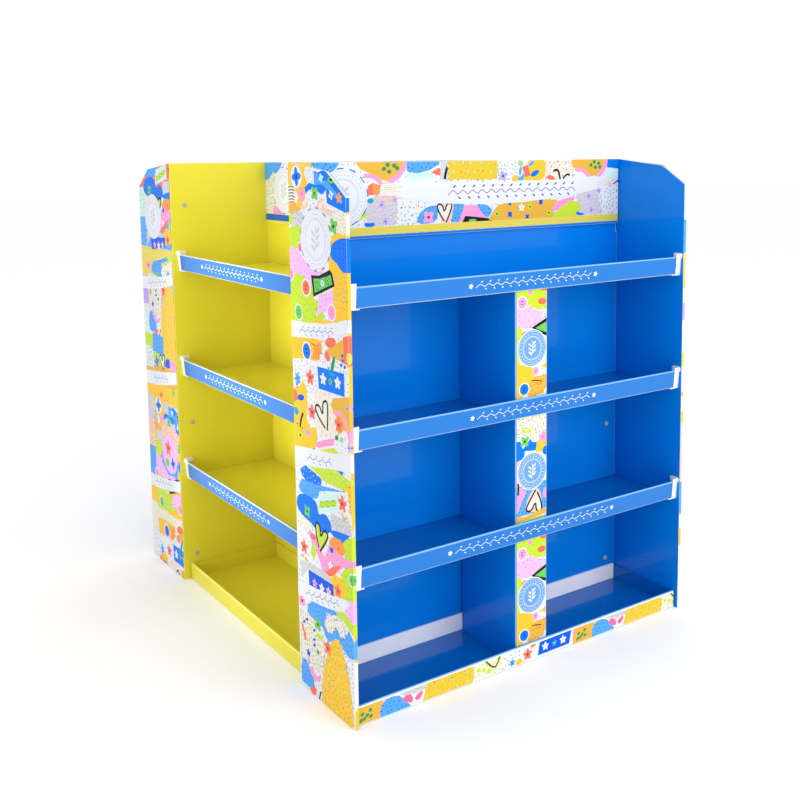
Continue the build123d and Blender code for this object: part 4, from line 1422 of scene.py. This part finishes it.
# %% Compose the lip vines
LIP_LEAN = math.atan2(4.0, 45.5)        # a lip leans out 4 mm over its height
WIDE_LIP_FOOT, NARROW_LIP_FOOT = 0.5890, 0.4810
VINE_ENDS = 30           # a vine's field stops this far from the lip's ends
VINE_LOW, VINE_HIGH = 6, 38
lip_vines = []
for side, number in ((side, number) for side in ("front", "left") for number in (1, 2, 3)):
    low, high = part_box(f"{side}_shelf_{number}")
    half = (high.x - low.x if side == "front" else high.y - low.y) / 2 / MM
    if side == "front":
        corner, along = (low.x, -WIDE_LIP_FOOT, low.z), (1, 0, 0)
        lean = (0, -math.sin(LIP_LEAN), math.cos(LIP_LEAN))
        middle, length = half + 4, (470, 342, 346)[number - 1]
    else:
        corner, along = (-NARROW_LIP_FOOT, high.y, low.z), (0, -1, 0)
        lean = (-math.sin(LIP_LEAN), 0, math.cos(LIP_LEAN))
        middle, length = half - 6, 330
    vine = PrintFace(f"{side}_lip_vine_{number}", corner, along,
                     [(VINE_ENDS, VINE_LOW), (2 * half - VINE_ENDS, VINE_LOW),
                      (2 * half - VINE_ENDS, VINE_HIGH), (VINE_ENDS, VINE_HIGH)], lean)
    vine.base = None
    garland(vine, middle, 23, length, 9, "white", 0.0, 1.5, 24.0)
    for u in (middle - length / 2 - 14, middle + length / 2 + 14):
        vine.lay([blossom(u, 23, 6.5, 5)], "white")
    lip_vines.append(vine)
print("lip vines:", len(lip_vines))

# %% [markdown]
# ## Small repeated marks
# The fields carry hundreds of small dots, dashes and brushed ticks. They are scattered by one
# geometry node tree: points spread over the fields at a minimum spacing, a seven-sided disc on
# each, stretched and turned at random, then coloured. The same tree makes round dots, long dashes
# and leaves; only its named inputs differ. The marks are thinner than one layer of print, so a
# field laid over them covers them.

# %% Build the scatter tree
scatter = bpy.data.node_groups.new("scatter_printed_marks", "GeometryNodeTree")
scatter.is_modifier = True
SOCKETS = {}
for name, kind, value in (
        ("Geometry", "Geometry", None), ("Spacing", "Float", 0.010), ("Length", "Float", 0.004),
        ("Width", "Float", 0.003), ("Height", "Float", 0.00004), ("Turn", "Float", 3.1416),
        ("Seed", "Int", 1), ("Ink", "Color", (0, 0, 0, 1)), ("Material", "Material", None)):
    SOCKETS[name] = scatter.interface.new_socket(
        name=name, in_out="INPUT", socket_type="NodeSocket" + kind)
    if value is not None:
        SOCKETS[name].default_value = value
scatter.interface.new_socket("Geometry", in_out="OUTPUT", socket_type="NodeSocketGeometry")


group_in = node_of(scatter, "NodeGroupInput", (-900, 0))
spread = node_of(scatter, "GeometryNodeDistributePointsOnFaces", (-650, 120),
                 distribute_method="POISSON")
spread.inputs["Density Max"].default_value = 60000.0
disc = node_of(scatter, "GeometryNodeMeshCylinder", (-650, -220), fill_type="NGON")
disc.inputs["Vertices"].default_value = 7
disc.inputs["Radius"].default_value = 0.5
disc.inputs["Depth"].default_value = 1.0
swing = node_of(scatter, "FunctionNodeRandomValue", (-650, -480), data_type="FLOAT")
spin = node_of(scatter, "FunctionNodeAxisAngleToRotation", (-430, -480))
spin.inputs["Axis"].default_value = (0, 0, 1)
lie = node_of(scatter, "FunctionNodeRotateRotation", (-250, -120), rotation_space="LOCAL")
spare = node_of(scatter, "FunctionNodeRandomValue", (-650, -700), data_type="FLOAT")
spare.inputs[2].default_value, spare.inputs[3].default_value = 0.7, 1.3
stretch = node_of(scatter, "ShaderNodeMath", (-430, -700), operation="MULTIPLY")
girth = node_of(scatter, "ShaderNodeCombineXYZ", (-250, -620))
negative = node_of(scatter, "ShaderNodeMath", (-830, -480), operation="MULTIPLY")
negative.inputs[1].default_value = -1.0
place_marks = node_of(scatter, "GeometryNodeInstanceOnPoints", (-50, 60))
realize = node_of(scatter, "GeometryNodeRealizeInstances", (140, 60))
colour = node_of(scatter, "GeometryNodeStoreNamedAttribute", (320, 60), data_type="FLOAT_COLOR",
                 domain="CORNER")
colour.inputs["Name"].default_value = "ink"
finish_marks = node_of(scatter, "GeometryNodeSetMaterial", (500, 60))
group_out = node_of(scatter, "NodeGroupOutput", (680, 60))

for source, out_name, target, in_name in (
        (group_in, "Geometry", spread, "Mesh"), (group_in, "Spacing", spread, "Distance Min"),
        (group_in, "Seed", spread, "Seed"), (group_in, "Turn", negative, 0),
        (negative, 0, swing, 2), (group_in, "Turn", swing, 3), (group_in, "Seed", swing, "Seed"),
        (swing, 1, spin, "Angle"), (spread, "Rotation", lie, "Rotation"), (spin, 0, lie, 1),
        (group_in, "Seed", spare, "Seed"), (spare, 1, stretch, 0), (group_in, "Length", stretch, 1),
        (stretch, 0, girth, "X"), (group_in, "Width", girth, "Y"), (group_in, "Height", girth, "Z"),
        (spread, "Points", place_marks, "Points"), (disc, "Mesh", place_marks, "Instance"),
        (lie, "Rotation", place_marks, "Rotation"), (girth, "Vector", place_marks, "Scale"),
        (place_marks, "Instances", realize, "Geometry"), (realize, "Geometry", colour, "Geometry"),
        (group_in, "Ink", colour, "Value"), (colour, "Geometry", finish_marks, "Geometry"),
        (group_in, "Material", finish_marks, "Material"),
        (finish_marks, "Geometry", group_out, "Geometry")):
    scatter.links.new(source.outputs[out_name], target.inputs[in_name])
print("scatter tree inputs:", list(SOCKETS))

# %% [markdown]
# ### Choose the marks
# One row for each kind of mark: how far apart, how long and wide, how far it may turn, its ink.

# %% Choose the marks
MARKS = {   # spacing, length, width in mm, turn in degrees, ink
    "navy dots": (9.0, 3.4, 2.8, 180, "navy"), "violet dots": (12.0, 3.4, 2.4, 180, "slate"),
    "olive dots": (11.0, 3.4, 1.9, 60, "leaf"), "teal dashes": (10.0, 7.5, 2.2, 50, "teal"),
    "pen marks": (9.0, 8.5, 1.3, 180, "pen"), "grey marks": (8.0, 8.5, 1.1, 60, "slate"),
    "green strokes": (8.5, 9.0, 2.0, 70, "sage"), "brown dots": (10.0, 3.6, 1.8, 180, "wine"),
    "base ticks": (13.0, 7.5, 1.3, 180, "pen"), "peach spots": (12.0, 8.5, 6.0, 180, "salmon"),
    "rose strokes": (8.0, 9.0, 1.6, 50, "rose"),
    "white dots": (11.0, 3.2, 3.0, 180, "white"), "pen dashes": (9.0, 6.0, 2.4, 30, "pen"),
    "green leaves": (10.0, 7.5, 3.0, 120, "green"), "pink leaves": (19.0, 9.0, 5.0, 180, "salmon"),
}
print("kinds of marks:", len(MARKS))


def scattered(name, faces, seed):
    """All the marks of one kind, over every field that carries them, as one piece."""
    spacing, length, width, turn, ink = MARKS[name]
    bm = bmesh.new()
    for face in faces:
        for shape, mark, layer in face.seeds:
            if mark == name:
                lift = BASE_LIFT + layer * LAYER_LIFT
                bm.faces.new([bm.verts.new(face.place(p, lift)) for p in shape])
    if not bm.faces:
        bm.free()
        return None
    bmesh.ops.triangulate(bm, faces=bm.faces[:], ngon_method="EAR_CLIP")
    field = bpy.data.meshes.new("fields_for_" + name.replace(" ", "_"))
    bm.to_mesh(field)
    bm.free()
    carrier = bpy.data.objects.new(field.name, field)
    scene.collection.objects.link(carrier)
    modifier = carrier.modifiers.new("scatter", "NODES")
    modifier.node_group = scatter
    values = {"Spacing": spacing * MM, "Length": length * MM, "Width": width * MM,
              "Height": MARK_HEIGHT * MM,
              "Turn": math.radians(turn), "Seed": seed, "Ink": INKS[ink], "Material": PRINT_INK}
    for socket_name, value in values.items():
        modifier[SOCKETS[socket_name].identifier] = value
    evaluated = carrier.evaluated_get(bpy.context.evaluated_depsgraph_get())
    mesh = bpy.data.meshes.new_from_object(evaluated)
    mesh.name = name.replace(" ", "_")
    carrier.modifiers.clear()
    bpy.data.objects.remove(carrier)
    bpy.data.meshes.remove(field)
    piece = bpy.data.objects.new(mesh.name, mesh)
    scene.collection.objects.link(piece)
    return piece


# %% [markdown]
# ## Press the print
# Every composition is turned into thin solids and laid on its wall. The walls, headers, lips and
# dividers across the stand carry the same prints, because the real sheets are cut from one run.

# %% Press everything and hang it on the stand
faces = [near, near.turned("rear_right_wall_print"), far, far.turned("front_right_wall_print"),
         wide_header, wide_header.turned("rear_header_print"),
         narrow_header, narrow_header.turned("right_header_print"),
         tray_lip, tray_lip.turned("rear_tray_lip_print")]
for face in faces[:8]:
    face.seeds.append((face.inset, "base ticks", 0))
faces += [near_edge, near_edge.turned("rear_near_edge_print"), far_edge,
          far_edge.turned("rear_far_edge_print")]
faces += posts + [post.turned("rear_" + post.name) for post in posts]
vines = lip_vines + [vine.turned("across_" + vine.name) for vine in lip_vines]
pieces = [pressed(face) for face in faces + vines]
pieces += [piece for i, name in enumerate(MARKS) if (piece := scattered(name, faces, 11 + i))]
for piece in pieces:
    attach(piece, "root")
print("highest layer:", max(layer for face in faces for _, _, layer in face.laid))
for piece in pieces:
    print(piece.name, len(piece.data.polygons), "faces")
